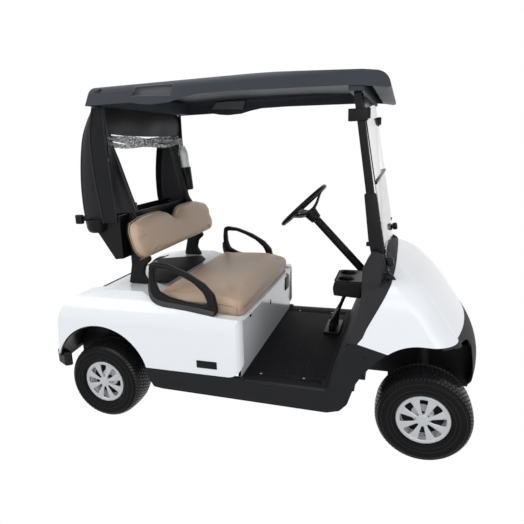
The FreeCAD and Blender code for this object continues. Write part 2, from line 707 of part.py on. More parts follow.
SHAFT_RADIUS = 9
column = bar(along(30), along(520), S["column_radius"]).fuse(bar(along(-14), along(40), SHAFT_RADIUS))
node("steering_column", feature("steering_column_shape", column.cut(front_of_face).removeSplitter()))

rim_centre = along(-88)
ring = Part.makeTorus(float(S["wheel_rim_radius"]), float(S["wheel_grip_radius"]), rim_centre, AXIS)
HUB_FRONT, HUB_BACK = -44, 29.7
hub = Part.makeCone(44, 33, HUB_BACK - HUB_FRONT, along(HUB_FRONT), AXIS)
bore = bar(along(-15), along(30), SHAFT_RADIUS + S["spindle_fit"])
up = AXIS.cross(Vector(0, 1, 0))
SPOKE = [
    # distance from the axle line, place along it, half width, half thickness
    (22, -30, 26, 9), (70, -46, 21, 8), (120, -74, 17, 7), (162, -88, 15, 6)]


def spoke(angle):
    """A flat dished spoke from the hub cone up to the rim."""
    way, wires = Rotation(AXIS, angle).multVec(up), []
    across = AXIS.cross(way)
    for out, back, half, thick in SPOKE:
        middle = along(back) + way * out
        corners = [middle + across * (half * a) + AXIS * (thick * b)
                   for a, b in ((-1, -1), (1, -1), (1, 1), (-1, 1))]
        wires.append(Part.makePolygon(corners + corners[:1]))
    return Part.makeLoft(wires, True, True)


wheel_shape = ring.fuse(hub)
for angle in (0, 120, 240):
    wheel_shape = wheel_shape.fuse(spoke(angle))
node("steering_wheel", feature("steering_wheel_shape", wheel_shape.cut(bore).removeSplitter()))


def pedal(y_low, y_high):
    """A floor-hung pedal plate on its arm."""
    plate = slab_xz(fore([(-520, 402), (-508, 398), (-452, 498), (-464, 504)]), y_low, y_high)
    arm = slab_xz(fore([(-500, S["floor_top"] + GAP), (-480, S["floor_top"] + GAP), (-478, 460), (-494, 440)]),
                  (y_low + y_high) / 2 - 10, (y_low + y_high) / 2 + 10)
    return plate.fuse(arm).removeSplitter()


node("pedals", feature("pedals_shape", Part.makeCompound([pedal(120, 180), pedal(215, 320)])))


# ---------------------------------------------------------------- seat

base, top = S["seat_base_top"] + GAP, S["seat_base_top"] + S["seat_thickness"]
cushion = slab_xz([(REAR + S["seat_rear"], base), (REAR + S["seat_rear"], top - 30),
                   (REAR + S["seat_rear"] + 24, top), (REAR + 700, top + 4, (REAR + 792, top - 10)),
                   (REAR + S["seat_front"], top - 52, (REAR + S["seat_front"] - 2, base + 30)),
                   (REAR + S["seat_front"] - 12, base)], -S["seat_half_width"], S["seat_half_width"])
node("seat_cushion", feature("seat_cushion_shape", cushion))

low_z, high_z = S["back_bottom"], S["back_bottom"] + S["back_height"]
BACK_REAR_LOW, BACK_REAR_HIGH = 200, 185
back = slab_xz([(REAR + BACK_REAR_LOW, low_z), (REAR + 268, low_z, (REAR + 292, low_z + 22)),
                (REAR + 286, low_z + 60), (REAR + 240, high_z - 24, (REAR + 228, high_z)),
                (REAR + 205, high_z), (REAR + BACK_REAR_HIGH, high_z - 14)], -512, 512)
node("backrest", feature("backrest_shape", back))

STRUT_TOP = S["roof_bottom"] - 2
for side_name, side in SIDES.items():
    profile = [(REAR + 106, S["deck_height"] + GAP), (REAR + 228, S["deck_height"] + GAP),
               (REAR + 228, S["deck_height"] + 15), (REAR + 202, S["deck_height"] + 55),
               (REAR + 215, low_z - 55), (REAR + 249, low_z - 25), (REAR + 249, low_z - GAP),
               (REAR + BACK_REAR_LOW - 0.3, low_z - GAP), (REAR + BACK_REAR_HIGH - 0.5, high_z - 10),
               (REAR + 160, high_z + 27), (REAR + 24, STRUT_TOP), (REAR - 18, STRUT_TOP),
               (REAR + 118, high_z + 27), (REAR + 128, high_z + 16), (REAR + 128, low_z - 55),
               (REAR + 106, S["deck_height"] + 12)]
    strut = slab_xz(profile, S["strut_half_gap"] - S["strut_thickness"] / 2,
                    S["strut_half_gap"] + S["strut_thickness"] / 2)
    node(f"rear_strut_{side_name}",
         feature(f"rear_strut_{side_name}_shape", strut if side > 0 else mirror(strut)))

ARM_OUTER = [(339, 909), (331, 850), (331, 774), (352, 712), (412, 691.5), (690, 655.7), (701, 682),
             (685, 763), (637, 816), (549, 868), (445, 907), (365, 920)]
ARM_INNER = [(362, 888), (363, 817), (380, 765), (438, 735), (532, 718), (625, 708), (650, 722), (628, 774),
             (575, 822), (503, 860), (437, 885)]
for side_name, side in SIDES.items():
    body = doc.addObject("PartDesign::Body", f"armrest_{side_name}_body")
    loops = [[(REAR + x, Size(z, repr(float(z)))) for x, z in outline] for outline in (ARM_OUTER, ARM_INNER)]
    body.Tip = pad(body, f"armrest_{side_name}_pad",
                   sketch(body, f"armrest_{side_name}_outline", "XZ_Plane", loops), S["armrest_thickness"])
    place(body, 0, S["armrest_y"] * side, 0)
    node(f"armrest_{side_name}", body)

# ---------------------------------------------------------------- basket and bag rack

tray_outer = [(-40, 1137), (127.7, 1137), (127.7, 905), (80, 900), (-40, 1085)]
tray_inner = [(-35, 1140), (122.7, 1140), (122.7, 912), (84, 908), (-35, 1088)]
tray = slab_xz(from_rear(tray_outer), -462, 462).cut(slab_xz(from_rear(tray_inner), -457, 457))
rack_bar = bar((REAR - 240, -300, 1092), (REAR - 240, 300, 1092), 17)
arms = [bar((REAR - 240, spot, 1092), (REAR - 38, spot, 1112), 12) for spot in (-230, 0, 230)]
for arm in arms:
    rack_bar = rack_bar.fuse(arm)
node("basket", feature("basket_shape", tray.fuse(rack_bar).removeSplitter()))

# ---------------------------------------------------------------- roof and its struts

ROOF_SIDE = [(50, 0), (78, 58, (92, 80)), (140, 90), (600, 92), (1006, 80), (1371, 58),
             (1424, 50, (1464, 30)), (1481, -16), (1466, -20), (1420, -10), (1332, 0), (1109, 6), (820, 14),
             (640, 14), (560, 2), (500, -12), (409, -16), (350, -10), (300, 0)]


def roof_form(outline, inset):
    """The roof's form: its side view crossed with its crowned rear view."""
    gap = float(inset)
    base = float(S["roof_bottom"])
    points = [(REAR + p[0], base + p[1]) if len(p) == 2 else
              (REAR + p[0], base + p[1], (REAR + p[2][0], base + p[2][1])) for p in outline]
    form = slab_xz(points, -600, 600)
    half = float(S["roof_half_width"]) - gap
    view = [(half, 1600), (half, 1745, (half - 10, 1765)), (half - 34, 1776 - gap, (0, 1800 - gap)),
            (-half + 34, 1776 - gap, (-half + 10, 1765)), (-half, 1745), (-half, 1600)]
    return form.common(slab_yz(view, REAR - 100, REAR + 1700))


skin = float(S["roof_wall"])
ROOF_INSIDE = [(50 + skin, -30), (50 + skin, 0), (78 + skin, 58, (92 + skin * 0.7, 80 - skin * 0.7)),
               (144, 90 - skin), (600, 92 - skin), (1006, 80 - skin), (1371, 58 - skin), (1410, 44), (1410, -30)]
roof_outer, roof_inner = roof_form(ROOF_SIDE, 0), roof_form(ROOF_INSIDE, S["roof_wall"])
open_below = block((REAR + 70, -540, 1600), (REAR + 1400, 540, 1702))
roof = roof_outer.cut(roof_inner).cut(open_below)
rear_beam = block((REAR + 92, -542, S["roof_bottom"] + 2), (REAR + 116, 542, 1766))
front_beam = block((REAR + 1315, -542, S["roof_bottom"] - 22), (REAR + 1375, 542, 1745))
hanger = [block((REAR - 18, sign * S["strut_half_gap"] - 22, STRUT_TOP + GAP),
                (REAR + 60, sign * S["strut_half_gap"] + 22, STRUT_TOP + 12))
          for sign in (-1, 1)]
roof = roof.fuse(front_beam).fuse(rear_beam)
for piece in hanger:
    roof = roof.fuse(piece)
node("roof", feature("roof_shape", roof.removeSplitter()))

STRUT_FOOT, GLASS_FOOT, FOOT_GAP = -210, -172, 1.2


def crown_height(x, y):
    """The height of the nose's crowned top over a point that is given from the front axle."""
    probe = nose_outer.common(Part.makeLine(vec(FRONT + x, y, 600), vec(FRONT + x, y, 1100)))
    return max(corner.Point.z for corner in probe.Vertexes)


for side_name, side in SIDES.items():
    half = float(S["front_strut_width"]) / 2
    low, high = S["front_strut_y"] - half, S["front_strut_y"] + half
    foot = [(across, crown_height(STRUT_FOOT, across) + FOOT_GAP) for across in (float(low), float(high))]
    post = slab_xz([(FRONT - 214 - half, 800), (FRONT - 214 + half + 8, 800), (FRONT - 224 + half + 8, 1000),
                    (FRONT - 262 + half + 6, 1240), (FRONT - 262 + half, 1250), (FRONT - 324 + half, 1669.7),
                    (FRONT - 324 - half + 6, 1669.7), (FRONT - 224 - half, 1000)],
                   low, high).common(slab_yz(foot + [(high, 1800), (low, 1800)], FRONT - 400, FRONT))
    node(f"front_strut_{side_name}",
         feature(f"front_strut_{side_name}_shape", post if side > 0 else mirror(post)))

GLASS_HALF, GLASS_STEPS = 505, 14
glass = slab_xz(fore([(-166, 820), (-161, 820), (-191, 1000), (-299, 1664), (-304, 1664), (-196, 1000)]),
                -GLASS_HALF, GLASS_HALF)
stations = [GLASS_HALF * step / GLASS_STEPS for step in range(-GLASS_STEPS, GLASS_STEPS + 1)]
foot = [(across, crown_height(GLASS_FOOT, across) + FOOT_GAP) for across in stations]
glass = glass.common(slab_yz(foot + [(GLASS_HALF, 1800), (-GLASS_HALF, 1800)], FRONT - 400, FRONT))
node("windshield", feature("windshield_shape", glass))

# ---------------------------------------------------------------- bag cover and sand bottle

COVER = [
    # height, front x, corner x, rear x from the rear axle
    (1100, 112, 45, -84), (1300, 104, 20, -86), (1500, 92, 14, -63), (1691.7, 90, 50, 31)]
VALANCE_LOW = 1610


def cover_side():
    wires = []
    for height, front_x, corner_x, rear_x in COVER:
        points = [(front_x, 468.3), (corner_x, 488), (rear_x, 462), (rear_x - 10, 404), (rear_x - 4, 404),
                  (rear_x + 5, 457), (corner_x, 482), (front_x, 462.3)]
        wires.append(wire_of(from_rear(points), lambda a, b, height=height: vec(a, b, height)))
    return Part.makeLoft(wires, True, True)


FLAP = [
    # height, front x of the side, front x at the strut's outer face
    (1150, 110, 196), (1300, 104, 143), (1500, 92, 76), (1691.7, 90, 60)]


def cover_flap():
    """The part of the right side that is drawn in to the strut."""
    wires = []
    for height, front_x, strut_x in FLAP:
        points = [(front_x - 7, -466), (front_x - 1, -466), (strut_x + 3, -399), (strut_x - 3, -399)]
        wires.append(wire_of(from_rear(points), lambda a, b, height=height: vec(a, b, height)))
    return Part.makeLoft(wires, True, True)


valance = block((REAR + 64, -470, VALANCE_LOW), (REAR + 70, 470, 1691.7))
cover = both(cover_side()).fuse(valance).fuse(cover_flap())
node("bag_cover", feature("bag_cover_shape", cover.removeSplitter()))

lean = Rotation(Vector(0, 1, 0), -15.3)
bottle_y = S["strut_half_gap"] + S["strut_thickness"] / 2 + GAP + 34
node("sand_bottle", fuse("sand_bottle_parts", [
    rod("bottle_holder", (REAR + 142, bottle_y, 1195), 150, 34, lean),
    rod("bottle_body", (REAR + 142, bottle_y, 1195), 300, 27, lean)]))

# ---------------------------------------------------------------- export

doc.recompute()
for item in doc.Objects:
    if "Invalid" in item.State or "Error" in item.State:
        raise RuntimeError(f"{item.Label} did not build: {item.State}")
for item in NODES:
    if item.Shape.isNull() or not item.Shape.isValid():
        raise RuntimeError(f"{item.Label} has no valid shape")

os.makedirs("parts", exist_ok=True)
for item in NODES:
    item.Shape.exportStep(f"parts/{item.Label}.step")
    extent = item.Shape.BoundBox
    print(f"{item.Label:26s} {len(item.Shape.Solids)} solid  x {extent.XMin:8.1f} {extent.XMax:8.1f}  "
          f"y {extent.YMin:8.1f} {extent.YMax:8.1f}  z {extent.ZMin:8.1f} {extent.ZMax:8.1f}")
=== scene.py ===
"""A two-seat electric golf cart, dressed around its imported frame."""

import json
import logging
import math
from dataclasses import dataclass
from enum import Enum
from typing import Callable, Sequence

import bmesh
import bpy
from mathutils import Matrix, Vector


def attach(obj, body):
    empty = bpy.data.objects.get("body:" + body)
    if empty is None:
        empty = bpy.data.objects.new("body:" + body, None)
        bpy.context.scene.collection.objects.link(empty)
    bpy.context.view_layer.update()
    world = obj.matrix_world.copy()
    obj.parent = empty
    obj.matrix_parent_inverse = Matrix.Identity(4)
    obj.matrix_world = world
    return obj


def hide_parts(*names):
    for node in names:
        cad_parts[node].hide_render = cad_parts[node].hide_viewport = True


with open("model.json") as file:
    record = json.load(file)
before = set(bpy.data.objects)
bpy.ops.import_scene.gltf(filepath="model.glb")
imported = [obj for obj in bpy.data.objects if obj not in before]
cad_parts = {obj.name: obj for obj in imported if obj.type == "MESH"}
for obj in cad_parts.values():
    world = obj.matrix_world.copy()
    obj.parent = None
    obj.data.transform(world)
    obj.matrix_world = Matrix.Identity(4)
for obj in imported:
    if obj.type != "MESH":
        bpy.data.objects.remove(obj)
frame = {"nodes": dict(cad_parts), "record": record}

log = logging.getLogger("golf_cart")
Colour = tuple[float, float, float]
Point = tuple[float, float, float]
Pair = tuple[float, float]
Mesh = bmesh.types.BMesh
Run = tuple[bpy.types.Node, str | int, bpy.types.Node, str | int]

MM = 0.001
REAR_AXLE_X, FRONT_AXLE_X, AXLE_Z = -0.7725, 0.8965, 0.217
REAR_HALF_TRACK, FRONT_HALF_TRACK = 0.489, 0.451
# vertices of a CAD node closer than this are one vertex
MERGE = 5e-5
# what a shut edge, a line on a level and a cut plane may be off by
CLOSE = 1e-6


class Side(Enum):
    """Which side of the cart a piece is on, with the sign of its Y."""

    LEFT = 1
    RIGHT = -1

    @property
    def word(self) -> str:
        """The side's name as the nodes spell it."""
        return self.name.lower()

    def between(self, near: float, far: float) -> list[float]:
        """The low and high Y between two distances from the cart's middle, on this side."""
        return sorted((self.value * near, self.value * far))


def from_axle(axle_x: float, points: Sequence[Pair]) -> list[Pair]:
    """Turn millimetres ahead of an axle, and up or across, into metres."""
    return [(axle_x + ahead * MM, other * MM) for ahead, other in points]


# ------------------------------------------------------------------ node groups


def wire(tree: bpy.types.NodeTree, *runs: Run) -> None:
    """Link nodes.

    Args:
        tree: The node tree.
        runs: A node and its output, then a node and its input, for each link.
    """
    for source, out, target, into in runs:
        tree.links.new(source.outputs[out], target.inputs[into])


def grain_group() -> bpy.types.NodeTree:
    """Build the shared fine grain: a height for bump and a mask that varies slowly.

    Returns:
        The node group with inputs Scale and Patches, and outputs Height and Patch.
    """
    name = "moulded_grain"
    if name in bpy.data.node_groups:
        return bpy.data.node_groups[name]
    tree = bpy.data.node_groups.new(name, "ShaderNodeTree")
    for socket, way in (("Scale", "INPUT"), ("Patches", "INPUT"), ("Height", "OUTPUT"), ("Patch", "OUTPUT")):
        tree.interface.new_socket(socket, in_out=way, socket_type="NodeSocketFloat")
    start, end, place, cells, patches = (tree.nodes.new(kind) for kind in (
        "NodeGroupInput", "NodeGroupOutput",
        "ShaderNodeTexCoord", "ShaderNodeTexVoronoi", "ShaderNodeTexNoise"))
    cells.feature = "SMOOTH_F1"
    patches.inputs["Detail"].default_value = 4.0
    wire(tree, (place, "Object", cells, "Vector"), (place, "Object", patches, "Vector"),
         (start, "Scale", cells, "Scale"), (start, "Patches", patches, "Scale"),
         (cells, "Distance", end, "Height"), (patches, "Fac", end, "Patch"))
    return tree


@dataclass(frozen=True)
class Finish:
    """One surface finish: a colour that drifts a little, a roughness that drifts too, and a grain."""

    name: str
    colour: Colour
    roughness: float = 0.5
    metallic: float = 0.0
    coat: float = 0.0
    coat_roughness: float = 0.08
    grain: float = 900.0
    depth: float = 0.0002
    bump: float = 0.25
    patches: float = 6.0
    drift: float = 0.06
    rough_drift: float = 0.08
    transmission: float = 0.0
    ior: float = 1.45
    sheen: float = 0.0
    specular: float = 0.5

    def material(self) -> bpy.types.Material:
        """Build the finish once.

        Returns:
            The node material.
        """
        label = f"{self.name}_finish"
        if label in bpy.data.materials:
            return bpy.data.materials[label]
        made = bpy.data.materials.new(label)
        made.use_nodes = True
        tree = made.node_tree
        shader = tree.nodes["Principled BSDF"]
        for socket, value in (("Metallic", self.metallic), ("Coat Weight", self.coat),
                              ("Coat Roughness", self.coat_roughness),
                              ("Transmission Weight", self.transmission), ("IOR", self.ior),
                              ("Sheen Weight", self.sheen), ("Specular IOR Level", self.specular)):
            shader.inputs[socket].default_value = value
        grain, tint, rough, bump = (tree.nodes.new(kind) for kind in (
            "ShaderNodeGroup", "ShaderNodeMix", "ShaderNodeMapRange", "ShaderNodeBump"))
        grain.node_tree = grain_group()
        grain.inputs["Scale"].default_value = self.grain
        grain.inputs["Patches"].default_value = self.patches
        tint.data_type = "RGBA"
        tint.inputs["A"].default_value = (*[c * (1 - self.drift) for c in self.colour], 1)
        tint.inputs["B"].default_value = (*[min(1.0, c * (1 + self.drift)) for c in self.colour], 1)
        rough.inputs["To Min"].default_value = max(0.02, self.roughness - self.rough_drift)
        rough.inputs["To Max"].default_value = min(1.0, self.roughness + self.rough_drift)
        bump.inputs["Strength"].default_value = self.bump
        bump.inputs["Distance"].default_value = self.depth
        wire(tree, (grain, "Patch", tint, "Factor"), (tint, "Result", shader, "Base Color"),
             (grain, "Patch", rough, "Value"), (rough, "Result", shader, "Roughness"),
             (grain, "Height", bump, "Height"), (bump, "Normal", shader, "Normal"))
        return made


WHITE = Finish("white_gloss", (0.80, 0.815, 0.83), 0.24, coat=0.5, bump=0.02, patches=2.5, drift=0.012,
               rough_drift=0.03)
BLACK = Finish("black_moulded", (0.0060, 0.0060, 0.0068), 0.38, bump=0.12, grain=1400.0, drift=0.25,
               specular=0.20)
SILL = Finish("sill_plastic", (0.0125, 0.0128, 0.0145), 0.44, bump=0.35, grain=1100.0, drift=0.2,
              specular=0.16)
DASH = Finish("dash_plastic", (0.0310, 0.0305, 0.0325), 0.56, bump=0.35, grain=1200.0, drift=0.2,
              specular=0.07)
ROOF = Finish("roof_textured", (0.0350, 0.0385, 0.0480), 0.48, bump=0.4, grain=700.0, patches=4.0, drift=0.2,
              specular=0.25)
# painted light: the hip rail feet are a lighter grey than the black armrests, standing in for the top light
# on their sloping faces
RAIL_FOOT_PAINTED_LIGHT = Finish("rail_foot_painted_top_light", (0.0560, 0.0530, 0.0540), 0.50, bump=0.3, grain=1200.0, drift=0.15,
              specular=0.12)
# painted light: the hand recess' lining is the roof's plastic made a lighter grey, standing in for the light
# its inner face catches
POCKET_PAINTED_LIGHT = Finish("roof_pocket_painted_light", (0.1300, 0.1330, 0.1380), 0.60, bump=0.3, grain=700.0, drift=0.1, specular=0.2)
TAN = Finish("tan_vinyl", (0.490, 0.358, 0.258), 0.42, bump=0.4, grain=380.0, depth=0.0006, drift=0.07,
             patches=7.0)
SEAM = Finish("tan_welt", (0.33, 0.235, 0.160), 0.45, bump=0.3, grain=420.0, drift=0.06, patches=9.0)
FABRIC = Finish("cover_fabric", (0.0040, 0.0043, 0.0062), 0.44, bump=0.8, grain=1300.0, drift=0.35,
                patches=11.0, sheen=0.05, specular=0.22)
PIPING = Finish("cover_piping", (0.008, 0.008, 0.010), 0.30, bump=0.1, drift=0.1, specular=0.35)
TYRE = Finish("tyre_rubber", (0.0080, 0.0078, 0.0078), 0.50, bump=0.35, grain=600.0, drift=0.3, specular=0.07)
# partly painted highlight: the tread rubber is glossier than the carcass, and its lighter colour stands in
# for the highlights on the shoulders and side rings
TREAD_PAINTED_HIGHLIGHT = Finish("tyre_tread", (0.0150, 0.0150, 0.0165), 0.30, bump=0.3, grain=600.0, drift=0.3, specular=0.36)
MAT = Finish("floor_rubber", (0.0120, 0.0120, 0.0140), 0.60, bump=0.5, grain=1200.0, drift=0.2, specular=0.06)
SILVER = Finish("cover_silver", (0.50, 0.51, 0.52), 0.34, metallic=0.25, coat=0.3, bump=0.05, drift=0.03)
BARREL = Finish("rim_barrel", (0.84, 0.85, 0.86), 0.30, metallic=0.2, coat=0.2, bump=0.03, drift=0.02)
STEEL = Finish("chassis_paint", (0.008, 0.008, 0.009), 0.45, coat=0.1, bump=0.1, drift=0.2, specular=0.2)
GEAR = Finish("running_gear_iron", (0.016, 0.016, 0.017), 0.55, metallic=0.1, specular=0.15, bump=0.5,
              grain=500.0, drift=0.3)
BATTERY = Finish("battery_case", (0.02, 0.02, 0.024), 0.5, bump=0.2)
ACRYLIC = Finish("clear_acrylic", (0.860, 0.868, 0.905), 0.05, transmission=1.0, ior=1.16, bump=0.03,
                 grain=14.0, depth=0.002, drift=0.02, rough_drift=0.03)
FROST = Finish("pale_bottle", (0.74, 0.75, 0.73), 0.40, bump=0.1, drift=0.02)
VINYL = Finish("clear_vinyl", (0.62, 0.63, 0.64), 0.10, transmission=0.72, ior=1.35, bump=1.0, grain=48.0,
               depth=0.007, drift=0.08)

SLOT_FINISH = {
    "white_body": WHITE, "black_plastic": BLACK, "roof_plastic": ROOF, "tan_vinyl": TAN,
    "black_fabric": FABRIC, "tyre_rubber": TYRE, "floor_rubber": MAT, "cover_silver": SILVER,
    "chassis_steel": STEEL, "running_gear": GEAR, "battery_case": BATTERY, "clear_acrylic": ACRYLIC,
}


# ------------------------------------------------------------------ studio


@dataclass
class Studio:
    """The pale floor, the soft light and the camera."""

    camera_at: Point = (0.7715, -2.690, 1.468)
    yaw: float = 19.59
    pitch: float = 13.67
    roll: float = 2.43
    focal_share: float = 487.1 / 524
    sensor: float = 36.0
    shift: Pair = (0.0565, 0.0065)
    sky: Colour = (0.92, 0.95, 1.0)
    sky_strength: float = 0.52
    floor_colour: Colour = (0.93, 0.93, 0.93)
    lamps_look_at: Point = (0, 0, 0.6)

    def build(self) -> None:
        """Set up the whole stage."""
        bpy.context.scene.view_settings.view_transform = "Standard"
        self.camera()
        self.world()
        self.floor()
        self.lamps()

    def camera(self) -> None:
        """Place the camera, turned by its yaw, pitch and roll."""
        yaw, pitch, roll = (math.radians(a) for a in (self.yaw, self.pitch, self.roll))
        ahead = Vector((-math.sin(yaw) * math.cos(pitch), math.cos(yaw) * math.cos(pitch), -math.sin(pitch)))
        right = Vector((math.cos(yaw), math.sin(yaw), 0))
        down = ahead.cross(right)
        right_turned = math.cos(roll) * right + math.sin(roll) * down
        down_turned = -math.sin(roll) * right + math.cos(roll) * down
        turn = Matrix((right_turned, -down_turned, -ahead)).transposed()
        data = bpy.data.cameras.new("camera")
        data.sensor_width = self.sensor
        data.lens = self.sensor * self.focal_share
        data.shift_x, data.shift_y = self.shift
        data.clip_end = 100.0
        made = bpy.data.objects.new("camera", data)
        made.matrix_world = Matrix.Translation(self.camera_at) @ turn.to_4x4()
        bpy.context.scene.collection.objects.link(made)
        bpy.context.scene.camera = made

    def world(self) -> None:
        """A soft sky for the light and plain white where the camera or a reflection looks."""
        world = bpy.data.worlds.new("world")
        bpy.context.scene.world = world
        world.use_nodes = True
        soft = world.node_tree.nodes["Background"]
        soft.inputs["Color"].default_value = (*self.sky, 1)
        soft.inputs["Strength"].default_value = self.sky_strength
        plain = world.node_tree.nodes.new("ShaderNodeBackground")
        plain.inputs["Color"].default_value = (1, 1, 1, 1)
        self.backdrop(world.node_tree, soft, plain, "World Output")

    def backdrop(self, tree: bpy.types.NodeTree, lit: bpy.types.Node, plain: bpy.types.Node,
                 end: str) -> None:
        """Show plain white to the camera, in reflections and through glass, and the lit shader elsewhere.

        Args:
            tree: The node tree.
            lit: The shader that gives the light or takes the shadow.
            plain: The white shader.
            end: The name of the output node.
        """
        path = tree.nodes.new("ShaderNodeLightPath")
        seen = path.outputs["Is Camera Ray"]
        for kind in ("Is Glossy Ray", "Is Transmission Ray"):
            both = tree.nodes.new("ShaderNodeMath")
            both.operation = "MAXIMUM"
            tree.links.new(seen, both.inputs[0])
            tree.links.new(path.outputs[kind], both.inputs[1])
            seen = both.outputs[0]
        mix = tree.nodes.new("ShaderNodeMixShader")
        tree.links.new(seen, mix.inputs["Fac"])
        wire(tree, (lit, 0, mix, 1), (plain, 0, mix, 2), (mix, 0, tree.nodes[end], "Surface"))

    def floor(self) -> None:
        """A wide pale floor that keeps the cart's shadow."""
        mesh = bmesh.new()
        bmesh.ops.create_grid(mesh, x_segments=1, y_segments=1, size=12.0)
        made = linked("floor_stage", mesh)
        finish = bpy.data.materials.new("stage_floor")
        finish.use_nodes = True
        tree = finish.node_tree
        shader = tree.nodes["Principled BSDF"]
        shader.inputs["Base Color"].default_value = (*self.floor_colour, 1)
        shader.inputs["Roughness"].default_value = 0.9
        shader.inputs["Specular IOR Level"].default_value = 0.1
        self.backdrop(tree, shader, tree.nodes.new("ShaderNodeEmission"), "Material Output")
        made.data.materials.append(finish)

    def lamps(self) -> None:
        """Four large soft lamps: above, from behind the camera's left, from its side and from ahead."""
        for name, at, size, watts in [("lamp_top", (-0.2, -0.4, 4.8), 4.5, 105),
                                      ("lamp_key", (-3.4, -4.2, 3.6), 2.6, 70),
                                      ("lamp_side", (1.8, -4.6, 2.2), 3.2, 28),
                                      ("lamp_ahead", (3.0, -2.8, 1.7), 2.4, 20)]:
            data = bpy.data.lights.new(name, "AREA")
            data.shape = "DISK"
            data.size = size
            data.energy = watts
            made = bpy.data.objects.new(name, data)
            made.location = at
            aim = Vector(self.lamps_look_at) - Vector(at)
            made.rotation_euler = aim.to_track_quat("-Z", "Y").to_euler()
            bpy.context.scene.collection.objects.link(made)


# ------------------------------------------------------------------ shaping


def linked(name: str, mesh: Mesh) -> bpy.types.Object:
    """Turn a working mesh into an object of the scene.

    Args:
        name: The object's name.
        mesh: The working mesh, freed here.

    Returns:
        The new object.
    """
    data = bpy.data.meshes.new(name)
    mesh.to_mesh(data)
    mesh.free()
    made = bpy.data.objects.new(name, data)
    bpy.context.scene.collection.objects.link(made)
    return made


def finished(name: str, mesh: Mesh, finish: Finish, body: str = "chassis",
             replaces: Sequence[str] = (), crease: float = 35.0) -> bpy.types.Object:
    """Turn a working mesh into a piece of the cart.

    Args:
        name: The piece's name.
        mesh: The working mesh, freed here.
        finish: Its surface.
        body: The moving body it rides.
        replaces: The CAD nodes it stands for.
        crease: Edges sharper than this many degrees stay crisp.

    Returns:
        The new object.
    """
    bmesh.ops.recalc_face_normals(mesh, faces=mesh.faces)
    made = linked(name, mesh)
    made.data.shade_smooth()
    made.data.set_sharp_from_angle(angle=math.radians(crease))
    made.data.materials.append(finish.material())
    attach(made, body)
    if replaces:
        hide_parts(*replaces)
    log.info("%s: %d faces", name, len(made.data.polygons))
    return made


def join(mesh: Mesh, other: Mesh, move: Matrix | None = None) -> None:
    """Add a second working mesh to the first.

    Args:
        mesh: The mesh that grows.
        other: The mesh to add, freed here.
        move: Where to put it.
    """
    if move is not None:
        bmesh.ops.transform(other, matrix=move, verts=other.verts)
    data = bpy.data.meshes.new("join")
    other.to_mesh(data)
    other.free()
    mesh.from_mesh(data)
    bpy.data.meshes.remove(data)


def bevelled(mesh: Mesh, edges: Sequence[bmesh.types.BMEdge], width: float, segments: int) -> None:
    """Round some edges.

    Args:
        mesh: The mesh they belong to.
        edges: The edges, if there are any.
        width: The bevel's width.
        segments: How many faces make up the round.
    """
    if edges:
        bmesh.ops.bevel(mesh, geom=edges, offset=width, segments=segments, affect="EDGES", profile=0.5,
                        material=-1, clamp_overlap=True)


def soften(mesh: Mesh, width: float, segments: int = 3) -> None:
    """Round every edge that turns by more than 30 degrees.

    Args:
        mesh: The mesh to round.
        width: The bevel's width.
        segments: How many faces make up the round.
    """
    limit = math.radians(30.0)
    sharp = [e for e in mesh.edges if len(e.link_faces) == 2 and e.calc_face_angle(0) > limit]
    bevelled(mesh, sharp, width, segments)


def round_rim(mesh: Mesh, axis: int, level: float, width: float, segments: int = 6) -> None:
    """Round the edges that lie at one level of an axis.

    Args:
        mesh: The mesh to round.
        axis: 0, 1 or 2 for X, Y or Z.
        level: The level of both ends of each edge.
        width: The bevel's width.
        segments: The bevel's faces.
    """
    rim = [e for e in mesh.edges if all(abs(v.co[axis] - level) < 10 * CLOSE for v in e.verts)]
    bevelled(mesh, rim, width, segments)


def slab(outline: Sequence[Pair], low: float, high: float, plane: str = "xz",
         round_by: float = 0.0, segments: int = 3) -> Mesh:
    """A flat piece from an outline.

    Args:
        outline: The corner points in the plane.
        low: Where it starts along the third axis.
        high: Where it ends.
        plane: "xz", "xy" or "yz".
        round_by: The bevel on all its edges.
        segments: The bevel's faces.

    Returns:
        The working mesh.
    """
    place = {"xz": lambda a, b, c: (a, c, b), "xy": lambda a, b, c: (a, b, c),
             "yz": lambda a, b, c: (c, a, b)}[plane]
    mesh = bmesh.new()
    face = mesh.faces.new([mesh.verts.new(place(a, b, low)) for a, b in outline])
    grown = bmesh.ops.extrude_face_region(mesh, geom=[face])
    moved = [v for v in grown["geom"] if isinstance(v, bmesh.types.BMVert)]
    bmesh.ops.translate(mesh, vec=Vector(place(0, 0, high - low)), verts=moved)
    bmesh.ops.recalc_face_normals(mesh, faces=mesh.faces)
    if round_by:
        soften(mesh, round_by, segments)
    return mesh


def brick(low: Point, high: Point, round_by: float = 0.0, segments: int = 3) -> Mesh:
    """A block between two corners, with rounded edges.

    Args:
        low: The corner that is least on each axis.
        high: The corner opposite.
        round_by: The bevel on all its edges.
        segments: The bevel's faces.

    Returns:
        The working mesh.
    """
    mesh = bmesh.new()
    bmesh.ops.create_cube(mesh, size=1.0)
    low, high = Vector(low), Vector(high)
    bmesh.ops.scale(mesh, vec=high - low, verts=mesh.verts)
    bmesh.ops.translate(mesh, vec=(low + high) / 2, verts=mesh.verts)
    if round_by:
        soften(mesh, round_by, segments)
    return mesh


